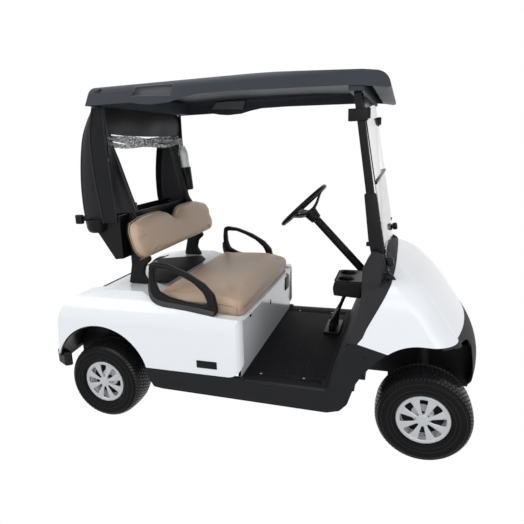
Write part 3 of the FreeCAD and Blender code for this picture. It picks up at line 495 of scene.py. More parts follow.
def smooth_line(points: Sequence[Point], steps: int = 8, closed: bool = False) -> list[Vector]:
    """A curve through every point.

    Args:
        points: The points it passes.
        steps: How many short lines between two points.
        closed: Whether it ends where it starts.

    Returns:
        The points of the curve.
    """
    pts = [Vector(p) for p in points]
    count = len(pts)
    out: list[Vector] = []
    for i in range(count if closed else count - 1):
        if closed:
            a, b, c, d = (pts[(i + k) % count] for k in (-1, 0, 1, 2))
        else:
            a, b, c, d = pts[max(i - 1, 0)], pts[i], pts[i + 1], pts[min(i + 2, count - 1)]
        for k in range(steps):
            t = k / steps
            out.append(0.5 * ((2 * b) + (c - a) * t + (2 * a - 5 * b + 4 * c - d) * t * t
                              + (3 * b - a - 3 * c + d) * t * t * t))
    if not closed:
        out.append(pts[-1])
    return out


def tube(points: Sequence[Point], radius: float | Sequence[float], sides: int = 14, closed: bool = False,
         flat: float = 1.0) -> Mesh:
    """A round or oval bar along a line.

    Args:
        points: The line's points.
        radius: One radius, or one for each point.
        sides: The faces round it.
        closed: Whether it ends where it starts.
        flat: The upright radius as a share of the level one.

    Returns:
        The working mesh.
    """
    pts = [Vector(p) for p in points]
    radii = list(radius) if isinstance(radius, (list, tuple)) else [radius] * len(pts)
    mesh = bmesh.new()
    count = len(pts)
    up = Vector((0, 0, 1))
    rings = []
    normal = None
    for i, at in enumerate(pts):
        before = pts[(i - 1) % count] if closed or i else at
        after = pts[(i + 1) % count] if closed or i < count - 1 else at
        along = (after - before).normalized()
        if normal is None:
            normal = up - along * along.dot(up)
            if normal.length < CLOSE:
                normal = Vector((1, 0, 0)) - along * along.x
            normal.normalize()
        else:
            normal = (normal - along * along.dot(normal)).normalized()
        cross = along.cross(normal)
        ring = [mesh.verts.new(at + radii[i] * (math.cos(a) * cross + flat * math.sin(a) * normal))
                for a in (2 * math.pi * k / sides for k in range(sides))]
        rings.append(ring)
    pairs = list(zip(rings, rings[1:]))
    if closed:
        pairs.append((rings[-1], rings[0]))
    for one, two in pairs:
        for k in range(sides):
            mesh.faces.new((one[k], one[(k + 1) % sides], two[(k + 1) % sides], two[k]))
    if not closed:
        mesh.faces.new(list(reversed(rings[0])))
        mesh.faces.new(rings[-1])
    bmesh.ops.recalc_face_normals(mesh, faces=mesh.faces)
    return mesh


def lathe(profile: Sequence[Pair], centre: Point, steps: int = 96, axis: Point = (0, 1, 0),
          closed: bool = True) -> Mesh:
    """A round piece spun from a profile.

    Args:
        profile: Radius and place along the axis of each point.
        centre: A point on the axis.
        steps: The faces round it.
        axis: The axis' direction.
        closed: Whether the profile is a ring of its own.

    Returns:
        The working mesh.
    """
    mesh = bmesh.new()
    verts = [mesh.verts.new((r, t, 0)) for r, t in profile]
    edges = [mesh.edges.new(pair) for pair in zip(verts, verts[1:])]
    if closed:
        edges.append(mesh.edges.new((verts[-1], verts[0])))
    bmesh.ops.spin(mesh, geom=verts + edges, cent=(0, 0, 0), axis=(0, 1, 0), angle=2 * math.pi, steps=steps,
                   use_merge=True, use_duplicate=False)
    bmesh.ops.remove_doubles(mesh, verts=mesh.verts, dist=CLOSE)
    turn = Vector((0, 1, 0)).rotation_difference(Vector(axis)).to_matrix().to_4x4()
    bmesh.ops.transform(mesh, matrix=Matrix.Translation(Vector(centre)) @ turn, verts=mesh.verts)
    bmesh.ops.recalc_face_normals(mesh, faces=mesh.faces)
    return mesh


def skin(rows: Sequence[Sequence[Point]]) -> Mesh:
    """A surface through rows of points.

    Args:
        rows: The rows, each with the same count of points.

    Returns:
        The working mesh.
    """
    mesh = bmesh.new()
    made = [[mesh.verts.new(p) for p in row] for row in rows]
    for one, two in zip(made, made[1:]):
        for k in range(len(one) - 1):
            mesh.faces.new((one[k], one[k + 1], two[k + 1], two[k]))
    bmesh.ops.recalc_face_normals(mesh, faces=mesh.faces)
    return mesh


def screw(at: Point, facing: Point, radius: float = 0.006, height: float = 0.0025) -> Mesh:
    """A low domed screw head with a socket.

    Args:
        at: The middle of its foot.
        facing: The way it looks.
        radius: Its radius.
        height: Its height.

    Returns:
        The working mesh.
    """
    profile = [(0, 0), (radius, 0), (radius, height * 0.4), (radius * 0.8, height * 0.85),
               (radius * 0.45, height), (radius * 0.42, height * 0.35), (0, height * 0.35)]
    return lathe(profile, at, 20, facing, closed=False)


def arc(centre: Pair, radius: float, start: float, end: float, steps: int) -> list[Pair]:
    """Points on a circle's arc, in degrees."""
    turns = [math.radians(start + (end - start) * k / steps) for k in range(steps + 1)]
    return [(centre[0] + radius * math.cos(turn), centre[1] + radius * math.sin(turn)) for turn in turns]


def node_form(name: str) -> Mesh:
    """Copy a CAD node's mesh and merge its loose triangles.

    Args:
        name: The node.

    Returns:
        The working mesh.
    """
    mesh = bmesh.new()
    mesh.from_mesh(frame["nodes"][name].data)
    bmesh.ops.remove_doubles(mesh, verts=mesh.verts, dist=MERGE)
    return mesh


# ------------------------------------------------------------------ moulded panels


@dataclass
class Moulding:
    """A moulded piece whose plain form is softened, either by round edges or by easing it all over."""

    node: str
    finish: Finish
    slot: str = "black_plastic"
    width: float = 0.003
    segments: int = 3
    angle: float = 32.0
    body: str = "chassis"
    voxel: float = 0.0
    rounds: int = 0
    recess: Sequence[Pair] = ()
    across: float = 0.0

    def form(self) -> Mesh:
        """Copy the node's form, flatten its flats and round the edges that run across the cart.

        Returns:
            The working mesh.
        """
        flat_turn, least_turn, level = math.radians(1.2), 0.15, 0.98
        mesh = node_form(self.node)
        if not self.voxel:
            bmesh.ops.dissolve_limit(mesh, angle_limit=flat_turn, verts=mesh.verts, edges=mesh.edges)
        if self.across:
            turned = [e for e in mesh.edges if len(e.link_faces) == 2 and e.calc_face_angle(0.0) > least_turn]
            level_ones = [e for e in turned if abs((e.verts[1].co - e.verts[0].co).normalized().y) > level]
            bevelled(mesh, level_ones, self.across, 5)
        return mesh

    def build(self) -> None:
        """Build the softened piece, which stands for its node."""
        made = finished(self.node + "_panel", self.form(), self.finish, self.body, [self.node],
                        crease=180)
        if self.voxel:
            evened(made, self.voxel, self.rounds)
            return
        if self.recess:
            self.opened(made)
        bevel = made.modifiers.new("round", "BEVEL")
        bevel.width = self.width
        bevel.segments = self.segments
        bevel.limit_method = "ANGLE"
        bevel.angle_limit = math.radians(self.angle)
        made.modifiers.new("normals", "WEIGHTED_NORMAL")

    def opened(self, made: bpy.types.Object) -> None:
        """Cut the recess' outline through both side walls.

        Args:
            made: The piece.
        """
        inwards, outwards = 0.022, 0.004
        reach = max(abs(vert.co.y) for vert in made.data.vertices)
        for side in Side:
            low, high = side.between(reach - inwards, reach + outwards)
            cutter = linked("recess_cutter", slab(self.recess, low, high))
            cut = made.modifiers.new("recess", "BOOLEAN")
            cut.operation, cut.solver, cut.object = "DIFFERENCE", "EXACT", cutter
            settled(made)
            bpy.data.objects.remove(cutter)


# ------------------------------------------------------------------ wheels


@dataclass
class Wheel:
    """A turf tyre on a rim with an eight-window cover."""

    end: str
    side: Side
    centre_x: float
    centre_y: float
    tyre_r: float = 0.217
    tyre_half: float = 0.098
    rim_r: float = 0.1125
    windows: int = 8
    lugs: int = 68

    @property
    def body(self) -> str:
        """The moving body this wheel belongs to."""
        return f"{self.end}_wheel_{self.side.word}"

    def place(self, mesh: Mesh) -> Mesh:
        """Move a mesh made at the origin, facing +Y, to the hub, and turn it to face outwards.

        Args:
            mesh: The working mesh.

        Returns:
            The same mesh.
        """
        turn = Matrix.Identity(4) if self.side is Side.LEFT else Matrix.Rotation(math.pi, 4, "Z")
        move = Matrix.Translation((self.centre_x, self.side.value * self.centre_y, AXLE_Z)) @ turn
        bmesh.ops.transform(mesh, matrix=move, verts=mesh.verts)
        return mesh

    def build(self) -> None:
        """Build the tyre and its tread, the rim, the dark well behind the windows, and the cover."""
        tag = f"{self.end}_{self.side.word}"
        deep, thick = self.tyre_half - 0.074, 0.006
        well = lathe([(0.0, deep), (0.084, deep), (0.096, deep + 0.004), (0.096, deep - thick),
                      (0.0, deep - thick)],
                     (0, 0, 0), 48, closed=False)
        # the tread and side rings take the lighter tread finish, partly painted highlight
        for piece, mesh, finish, slot, replaces, crease in (
                ("tyre_skin", self.tyre(), TYRE, "tyre_rubber", [f"tyre_{tag}"], 28),
                ("tyre_tread", self.tread(), TREAD_PAINTED_HIGHLIGHT, "tyre_rubber", [], 28),
                ("wheel_rim", self.rim(), BARREL, "cover_silver", [f"wheel_{tag}"], 35),
                ("wheel_well", well, BLACK, "black_plastic", [], 35),
                ("wheel_cover", self.cover(), SILVER, "cover_silver", [], 40)):
            finished(f"{piece}_{tag}", self.place(mesh), finish, self.body, replaces, crease)

    def tyre(self) -> Mesh:
        """The carcass with its side rings.

        Returns:
            The working mesh.
        """
        rim, half, tread_r = self.rim_r, self.tyre_half, self.tyre_r - 0.0058
        # out from the rim and in from the side face, of each ring
        side = ((0.009, 0.028), (0.0105, 0.014), (0.0160, 0.007), (0.022, 0.0045), (0.024, 0.0020),
                (0.028, 0.0020), (0.030, 0.0035), (0.045, 0.0005), (0.060, 0.0006), (0.062, 0.0020),
                (0.068, 0.0028), (0.070, 0.0016), (0.082, 0.0080))
        one = [(rim + out, half - back) for out, back in side]
        one += [(tread_r - 0.004, half - 0.0200), (tread_r, half - 0.0300), (tread_r + 0.0016, half - 0.06),
                (tread_r + 0.002, 0.0)]
        return lathe(one + [(a, -b) for a, b in reversed(one[:-1])], (0, 0, 0))

    def tread(self) -> Mesh:
        """The slanting blocks of the tread, which wrap over both shoulders, and the raised side rings.

        Returns:
            The working mesh.
        """
        mesh = bmesh.new()
        lean, broad, narrow, deep = 0.4, 0.0016, 0.0008, 0.004
        for row, (across, height, tilt) in enumerate(self.rows()):
            for k in range(self.lugs):
                turn = Matrix.Rotation(2 * math.pi * (k + (0.5 if row % 2 else 0.0)) / self.lugs, 4, "Y")
                join(mesh, self.block(across, height, tilt, lean * (-1) ** row), turn)
        for radius, rise in ((self.rim_r + 0.026, -0.0012), (self.rim_r + 0.044, 0.0),
                             (self.rim_r + 0.071, -0.0008)):
            for face in (1, -1):
                at = face * (self.tyre_half + rise)
                ring = [(radius - broad, at - face * deep), (radius - narrow, at), (radius + narrow, at),
                        (radius + broad, at - face * deep)]
                join(mesh, lathe(ring, (0, 0, 0)))
        return mesh

    def rows(self) -> list[Point]:
        """Each row of tread blocks: its place across, the height of its top and its tilt in degrees.

        Returns:
            The rows from the inner side to the outer.
        """
        r = self.tyre_r - 0.0003
        right = [(0.0215, r - 0.0003, 2), (0.0430, r - 0.0017, 6), (0.0640, r - 0.0046, 15),
                 (0.0815, r - 0.0122, 37)]
        return [(-a, h, -t) for a, h, t in reversed(right)] + [(0.0, r, 0)] + right

    def block(self, across: float, height: float, tilt: float, lean: float) -> Mesh:
        """One slanting tread block at the top of the wheel, tapered to its top.

        Args:
            across: Its place along the axle.
            height: The height of its top over the axle.
            tilt: How many degrees it turns out to the side.
            lean: How much it slants along the tread.

        Returns:
            The working mesh.
        """
        half_width, deep, taper_x, taper_y = 0.0092, 0.0085, 0.86, 0.88
        half_long = math.pi * self.tyre_r / self.lugs * 0.76
        mesh = bmesh.new()
        low, high = [], []
        for sx, sy in ((-1, -1), (1, -1), (1, 1), (-1, 1)):
            x, y = sx * half_long + sy * lean * half_width, sy * half_width
            low.append(mesh.verts.new((x, y, -deep)))
            high.append(mesh.verts.new((x * taper_x, y * taper_y, 0.0)))
        mesh.faces.new(high)
        for k in range(4):
            n = (k + 1) % 4
            mesh.faces.new((low[k], low[n], high[n], high[k]))
        turn = Matrix.Translation((0, across, height)) @ Matrix.Rotation(math.radians(-tilt), 4, "X")
        bmesh.ops.transform(mesh, matrix=turn, verts=mesh.verts)
        return mesh

    def rim(self) -> Mesh:
        """The rim behind the cover: a flange, a barrel and a dished centre.

        Returns:
            The working mesh.
        """
        r, half = self.rim_r, self.tyre_half
        outer = half - 0.022
        profile = [(r + 0.004, outer - 0.030), (r + 0.004, outer - 0.006), (r + 0.001, outer),
                   (r - 0.006, outer), (r - 0.010, outer - 0.012), (r - 0.014, outer - 0.05),
                   (0.055, outer - 0.058), (0.050, outer - 0.050), (0.0, outer - 0.050),
                   (0.0, outer - 0.056), (0.05, outer - 0.064), (r - 0.016, outer - 0.056),
                   (r - 0.018, -outer + 0.02), (r - 0.004, -outer), (r + 0.004, -outer),
                   (r + 0.004, -outer + 0.03), (r - 0.006, -outer + 0.035), (r - 0.006, outer - 0.034)]
        return lathe(profile, (0, 0, 0), 72)

    def cover(self) -> Mesh:
        """The silver cover: a broad outer ring, tapered spokes between the windows, and a small hub.

        Returns:
            The working mesh.
        """
        face, count, steps, arched = self.tyre_half - 0.016, self.windows, 8, 0.0030
        # radius, rise, and the share of a window's pitch that is open
        rings = [(0.0270, 0.0040, 0.14), (0.0320, 0.0042, 0.38), (0.042, 0.0046, 0.46), (0.058, 0.0046, 0.50),
                 (0.074, 0.0042, 0.51), (0.088, 0.0034, 0.50), (0.0970, 0.0024, 0.48), (0.1005, 0.0014, 0.42),
                 (0.1030, 0.0008, 0.22)]
        mesh = bmesh.new()
        rows = []
        for radius, rise, opened in rings:
            row = []
            for s in range(count):
                half_open = math.pi / count * opened
                start = 2 * math.pi * s / count + half_open
                for k in range(steps + 1):
                    turn = start + (2 * math.pi / count - 2 * half_open) * k / steps
                    bow = arched * math.sin(math.pi * k / steps) ** 0.7
                    row.append(mesh.verts.new((radius * math.sin(turn), face + rise + bow - 0.0035,
                                               radius * math.cos(turn))))
            rows.append(row)
        for one, two in zip(rows, rows[1:]):
            for s in range(count):
                for k in range(s * (steps + 1), s * (steps + 1) + steps):
                    mesh.faces.new((one[k], one[k + 1], two[k + 1], two[k]))
        bmesh.ops.recalc_face_normals(mesh, faces=mesh.faces)
        bmesh.ops.solidify(mesh, geom=mesh.faces[:], thickness=0.012)
        edge = [(0.1015, -0.012), (0.1010, -0.0008), (0.1030, 0.0012), (0.1080, 0.0028), (0.1135, 0.0033),
                (0.1175, 0.0022), (0.1198, -0.0006), (0.1203, -0.006), (0.1150, -0.012)]
        hub = [(0.0, 0.0070), (0.0140, 0.0068), (0.0230, 0.0056), (0.0285, 0.0032), (0.0305, -0.0010),
               (0.0305, -0.012), (0.0, -0.012)]
        join(mesh, lathe([(r, face + rise) for r, rise in edge], (0, 0, 0)))
        join(mesh, lathe([(r, face + rise) for r, rise in hub], (0, 0, 0), 64, closed=False))
        return mesh


# ------------------------------------------------------------------ padding


def settled(made: bpy.types.Object) -> None:
    """Turn a piece's live modifiers into its mesh.

    Args:
        made: The piece.
    """
    graph = bpy.context.evaluated_depsgraph_get()
    graph.update()
    fresh = bpy.data.meshes.new_from_object(made.evaluated_get(graph))
    old, made.data = made.data, fresh
    made.modifiers.clear()
    bpy.data.meshes.remove(old)


def evened(made: bpy.types.Object, voxel: float, rounds: int = 0) -> None:
    """Give a closed piece an even mesh, and ease its corners.

    Args:
        made: The piece.
        voxel: The size of its new faces.
        rounds: How often its corners are eased.
    """
    even = made.modifiers.new("even", "REMESH")
    even.mode = "VOXEL"
    even.voxel_size = voxel
    settled(made)
    mesh = bmesh.new()
    mesh.from_mesh(made.data)
    for _ in range(rounds):
        bmesh.ops.smooth_vert(mesh, verts=mesh.verts, factor=0.5, use_axis_x=True, use_axis_y=True,
                              use_axis_z=True)
    mesh.to_mesh(made.data)
    mesh.free()
    made.data.shade_smooth()


@dataclass
class Stuffing:
    """The swelling of a padded piece under the pressure of its foam, held at its seams."""

    reach: float
    pressure: float = 4.0
    frames: int = 20

    def swell(self, made: bpy.types.Object, held: Callable[[Vector], bool]) -> None:
        """Swell a closed and even piece.

        Args:
            made: The piece.
            held: Tells which points stay, such as those of a seam or of the base.
        """
        before = [vert.co.copy() for vert in made.data.vertices]
        pins = made.vertex_groups.new(name="held")
        pins.add([k for k, at in enumerate(before) if held(at)], 1.0, "REPLACE")
        cloth = made.modifiers.new("swell", "CLOTH")
        cloth.settings.use_pressure = True
        cloth.settings.uniform_pressure_force = self.pressure
        cloth.settings.vertex_group_mass = "held"
        cloth.settings.effector_weights.gravity = 0.0
        cloth.point_cache.frame_start, cloth.point_cache.frame_end = 1, self.frames
        scene = bpy.context.scene
        for frame_number in range(1, self.frames + 1):
            scene.frame_set(frame_number)
        graph = bpy.context.evaluated_depsgraph_get()
        after = [vert.co.copy() for vert in made.evaluated_get(graph).data.vertices]
        made.modifiers.clear()
        scene.frame_set(1)
        for vert, old, new in zip(made.data.vertices, before, after):
            move = new - old
            if move.length > CLOSE * MM:
                vert.co = old + move.normalized() * self.reach * math.tanh(move.length / self.reach)
        made.vertex_groups.clear()


def hugged(made: bpy.types.Object, points: Sequence[Point], lift: float) -> list[Vector]:
    """Lay a line on a piece's surface.

    Args:
        made: The piece.
        points: The line's points, near the surface.
        lift: How far it stands off the surface.

    Returns:
        The line on the surface.
    """
    found = []
    for point in points:
        _, at, normal, _ = made.closest_point_on_mesh(Vector(point))
        found.append(at + normal * lift)
    return found


# ------------------------------------------------------------------ seat


@dataclass
class SeatCushion:
    """The bench's lower cushion: a crowned top that rolls down at the front, with a boxed border."""

    low: Point = (-0.4385, -0.5130, 0.6395)
    high: Point = (0.0480, 0.5130, 0.7480)
    corner: float = 0.062
    rear_corner: float = 0.035
    seam_z: float = 0.7060
    voxel: float = 0.0078

    def form(self) -> Mesh:
        """The unstuffed cushion.

        Returns:
            The working mesh.
        """
        low, high = Vector(self.low), Vector(self.high)
        outline = []
        for x, y, start, radius in ((high.x, high.y, 0, self.corner), (low.x, high.y, 90, self.rear_corner),
                                    (low.x, low.y, 180, self.rear_corner), (high.x, low.y, 270, self.corner)):
            centre = (x - math.copysign(radius, x - low.x - 0.1), y - math.copysign(radius, y))
            outline += arc(centre, radius, start, start + 90, 8)
        mesh = slab(outline, low.z, high.z, "xy")
        round_rim(mesh, 2, high.z, 0.030, 6)
        round_rim(mesh, 2, low.z, 0.008, 2)
        return mesh

    def shaped(self, at: Vector) -> Vector:
        """Roll the front down and crown the top.

        Args:
            at: A point of the even form.

        Returns:
            Where it goes.
        """
        low, high = Vector(self.low), Vector(self.high)
        up = (at.z - low.z) / (high.z - low.z)
        front = max(0.0, (at.x - 0.010 + 0.130) / 0.168)
        fuller = 0.4 + 0.6 * min(1.0, (at.x - low.x) / 0.25)
        crown = max(0.0, 1 - (2 * at.y / (high.y - low.y)) ** 4) * fuller
        drop = 0.034 * min(front, 1.0) ** 2.4 - 0.010 * crown
        tuck = 0.012 * (1 - up) ** 2 * min(1.0, front)
        return Vector((at.x - tuck, at.y, at.z - drop * up))

    def build(self) -> None:
        """Build the cushion, swell it and sew its seams."""
        made = finished("seat_vinyl", self.form(), TAN, "seat_lid", ["seat_cushion"], crease=180)
        evened(made, self.voxel, 3)
        for vert in made.data.vertices:
            vert.co = self.shaped(vert.co)
        Stuffing(0.0085).swell(made, self.held)
        finer = made.modifiers.new("finer", "SUBSURF")
        finer.levels = finer.render_levels = 1
        self.seams(made)

    def held(self, at: Vector) -> bool:
        """Whether a point is on the base or on the side seam."""
        side = abs(at.y) > self.high[1] - 0.02
        return at.z < self.low[2] + 0.008 or (side and at.x < 0.0 and abs(at.z - self.seam_z) < 0.0055)

    def seams(self, made: bpy.types.Object) -> None:
        """Lay the side seams, the corner's boxed seam and the front stitches.

        Args:
            made: The swollen cushion.
        """
        low, high = Vector(self.low), Vector(self.high)
        mesh = bmesh.new()
        for side in Side:
            y = side.value * high.y
            line = [(low.x + 0.03 + (high.x - low.x - 0.075) * k / 40, y * 1.02,
                     self.seam_z - 0.016 * (k / 40) ** 6)
                    for k in range(41)]
            join(mesh, tube(hugged(made, line, 0.0004), 0.0022, 8))
            down = [(high.x - 0.030, y * 1.02, self.seam_z - 0.014), (high.x - 0.029, y * 1.02, 0.672),
                    (high.x - 0.027, y * 1.02, 0.650)]
            join(mesh, tube(hugged(made, smooth_line(down, 8), 0.0002), 0.0016, 8))
            round_front = [(high.x + 0.02, side.value * (high.y - 0.030 - 0.085 * k / 14), 0.676)
                           for k in range(15)]
            join(mesh, tube(hugged(made, round_front, 0.0002), 0.0014, 8))
            over = [(x + 0.002, a, z + 0.006) for x, a, z in round_front]
            join(mesh, tube(hugged(made, over, 0.0002), 0.0009, 6))
        finished("seat_seams", mesh, SEAM, "seat_lid", crease=60)


@dataclass
class BackCushion:
    """The bench's back: two lobes with a notch between them, a flat face and a dark shell behind."""

    half: float = 0.5060
    low: float = 0.9080
    high: float = 1.1190
    depth: float = 0.062
    foot_x: float = -0.5350
    lean: float = 14.6
    board: float = 0.009
    corner: float = 0.084
    voxel: float = 0.0068

    @property
    def slope(self) -> float:
        """How far it leans back for each metre up."""
        return math.tan(math.radians(self.lean))

    def outline(self, grow: float = 0.0) -> list[Pair]:
        """The cushion's outline, seen from the front.

        Args:
            grow: How much larger it is all round.

        Returns:
            Across and up of each point.
        """
        half, low, high, r = self.half + grow, self.low - grow, self.high + grow, self.corner
        right = arc((half - r, low + r), r, 270, 360, 8)
        right += arc((half - r * 0.95, high - r - 0.006), r * 0.95, 0, 62, 8)
        top = [(0.355, high - 0.003), (0.260, high), (0.175, high - 0.001), (0.132, high - 0.003),
               (0.104, high - 0.010), (0.078, high - 0.023), (0.054, high - 0.039), (0.032, high - 0.050),
               (0.012, high - 0.0545)]
        one = right + top
        return one + [(-a, b) for a, b in reversed(one)]

    def leaning(self, mesh: Mesh, behind: float = 0.0) -> Mesh:
        """Lean an upright mesh back and put it in its place.

        Args:
            mesh: The working mesh, upright at X 0.
            behind: How far behind the cushion's rear face it stands.

        Returns:
            The same mesh.
        """
        for vert in mesh.verts:
            vert.co.x += self.foot_x - behind - self.slope * (vert.co.z - self.low)
        return mesh

    def build(self) -> None:
        """Build the cushion, its shell and its piping."""
        mesh = slab(self.outline(), 0.0, self.depth, "yz")
        round_rim(mesh, 0, self.depth, 0.036, 7)
        round_rim(mesh, 0, 0.0, 0.008, 2)
        made = finished("back_vinyl", self.leaning(mesh), TAN, "chassis", ["backrest"],
                        crease=180)
        evened(made, self.voxel, 3)
        Stuffing(0.0075).swell(made, self.held)
        finer = made.modifiers.new("finer", "SUBSURF")
        finer.levels = finer.render_levels = 1
        shell = slab(self.outline(0.0035), 0.0, 0.011, "yz")
        round_rim(shell, 0, 0.0, 0.008, 3)
        finished("back_shell", self.leaning(shell, 0.0115), BLACK)
        line = smooth_line([(self.foot_x + 0.0035 - self.slope * (z - self.low), y, z)
                            for y, z in self.outline(0.0005)], 2, closed=True)
        finished("back_piping", tube(line, 0.0035, 8, closed=True), SEAM, crease=60)

    def held(self, at: Vector) -> bool:
        """Whether a point is on the back board."""
        return at.x - (self.foot_x - self.slope * (at.z - self.low)) < self.board


@dataclass
class SeatFittings:
    """The latch slot, the vented socket plate and the small clips of the seat's front panel."""

    top: float = 0.630
    foot: float = 0.339
    front_foot: float = 0.0375
    front_top: float = 0.0495
    clips_y: float = 0.420
    plate_y: float = 0.435
    fittings_z: float = 0.560
    vents: int = 4

    def face(self, y: float, z: float) -> Vector:
        """A point on the front panel's face."""
        share = (z - self.foot) / (self.top - self.foot)
        return Vector((self.front_foot + (self.front_top - self.front_foot) * share, y, z))

    def build(self) -> None:
        """Build the three kinds of fitting."""
        mesh = bmesh.new()
        for side in Side:
            at = self.face(side.value * self.clips_y, self.top - 0.006)
            join(mesh, brick((at.x - 0.001, at.y - 0.008, at.z - 0.010),
                             (at.x + 0.006, at.y + 0.008, at.z + 0.004), 0.0015, 2))
        at = self.face(0.0, self.fittings_z)
        join(mesh, brick((at.x - 0.002, -0.006, at.z - 0.014), (at.x + 0.003, 0.006, at.z + 0.014), 0.003, 3))
        plate = self.face(self.plate_y, self.fittings_z)
        join(mesh, brick((plate.x - 0.002, plate.y - 0.050, plate.z - 0.045),
                         (plate.x + 0.006, plate.y + 0.050, plate.z + 0.045), 0.004, 3))
        for k in range(self.vents):
            z = plate.z - 0.030 + 0.020 * k
            join(mesh, brick((plate.x + 0.004, plate.y - 0.036, z - 0.004),
                             (plate.x + 0.0085, plate.y + 0.036, z + 0.004), 0.002, 2))
        finished("seat_panel_fittings", mesh, BLACK)


@dataclass
class DeckTray:
    """The flat black tray on the deck behind the seat, with rounded corners."""

    low: float = 0.7455
    thick: float = 0.007
    corners: Sequence[Pair] = ((75, -52), (-12, 190), (250, 326), (318, 236), (324, -342), (250, -350))

    def build(self) -> None:
        """Build the tray."""
        mesh = slab(from_axle(REAR_AXLE_X, self.corners), self.low, self.low + self.thick, "xy")
        bevelled(mesh, [e for e in mesh.edges if abs(e.verts[0].co.z - e.verts[1].co.z) > MM], 0.018, 5)
        round_rim(mesh, 2, self.low + self.thick, 0.003, 3)
        finished("deck_tray", mesh, MAT)


@dataclass
class Bench:
    """The whole seat: both cushions, the fittings under it and the tray behind it."""

    def build(self) -> None:
        """Build each part of the seat."""
        for piece in (SeatCushion(), BackCushion(), SeatFittings(), DeckTray()):
            piece.build()


# ------------------------------------------------------------------ cabin


@dataclass
class FloorMat:
    """The ribbed mat, its plain border with three grooves, and its screws."""

    low_x: float = 0.052
    high_x: float = 0.452
    half_y: float = 0.470
    top: float = 0.3390
    rib_step: float = 0.0145
    rib_rise: float = 0.0026
    rib_half: float = 0.0042
    border_lines: int = 3
    border_step: float = 0.017
    border_half: float = 0.0038
    sunk: float = 0.001
    screws_x: Pair = (0.122, 0.342)

    def build(self) -> None:
        """Build the ribs, the border lines and the screws."""
        mesh = bmesh.new()
        for k in range(int((self.high_x - self.low_x) / self.rib_step)):
            x = self.low_x + (k + 0.5) * self.rib_step
            join(mesh, brick((x - self.rib_half, -self.half_y, self.top - self.sunk),
                             (x + self.rib_half, self.half_y, self.top + self.rib_rise), 0.0012, 2))
        for side in Side:
            for k in range(self.border_lines):
                y = side.value * (self.half_y + 0.022 + self.border_step * k)
                join(mesh, brick((self.low_x, y - self.border_half, self.top - self.sunk),
                                 (self.high_x - 0.02, y + self.border_half, self.top + 0.002), 0.001, 2))
        finished("floor_ribs", mesh, MAT)
        screws = bmesh.new()
        for side in Side:
            for x in self.screws_x:
                at = (x, side.value * (self.half_y + 0.0305), self.top + 0.0005)
                join(screws, screw(at, (0, 0, 1), 0.0065, 0.0026))
        finished("floor_screws", screws, SILVER)


@dataclass
class SillTrim:
    """What is fixed to the outside of the body: the sills' bolts, and the blank plate above the right one."""

    face_y: float = 0.6020
    bolt_deep: float = 0.0016
    plate_x: Pair = (REAR_AXLE_X + 0.585, REAR_AXLE_X + 0.695)
    plate_z: Pair = (0.385, 0.425)
    bolts: Sequence[Pair] = ((490, 280), (1410, 530))

    def build(self) -> None:
        """Build the bolts and the plate."""
        mesh = bmesh.new()
        for side in Side:
            for x, z in from_axle(REAR_AXLE_X, self.bolts):
                at = (x, side.value * (self.face_y - self.bolt_deep), z)
                join(mesh, screw(at, (0, side.value, 0), 0.011, 0.004))
        finished("sill_bolts", mesh, BLACK)
        (x0, x1), (z0, z1) = self.plate_x, self.plate_z
        finished("side_plate", brick((x0, -self.face_y - 0.0012, z0), (x1, -self.face_y + 0.002, z1), 0.0012,
                                     2),
                 BLACK)


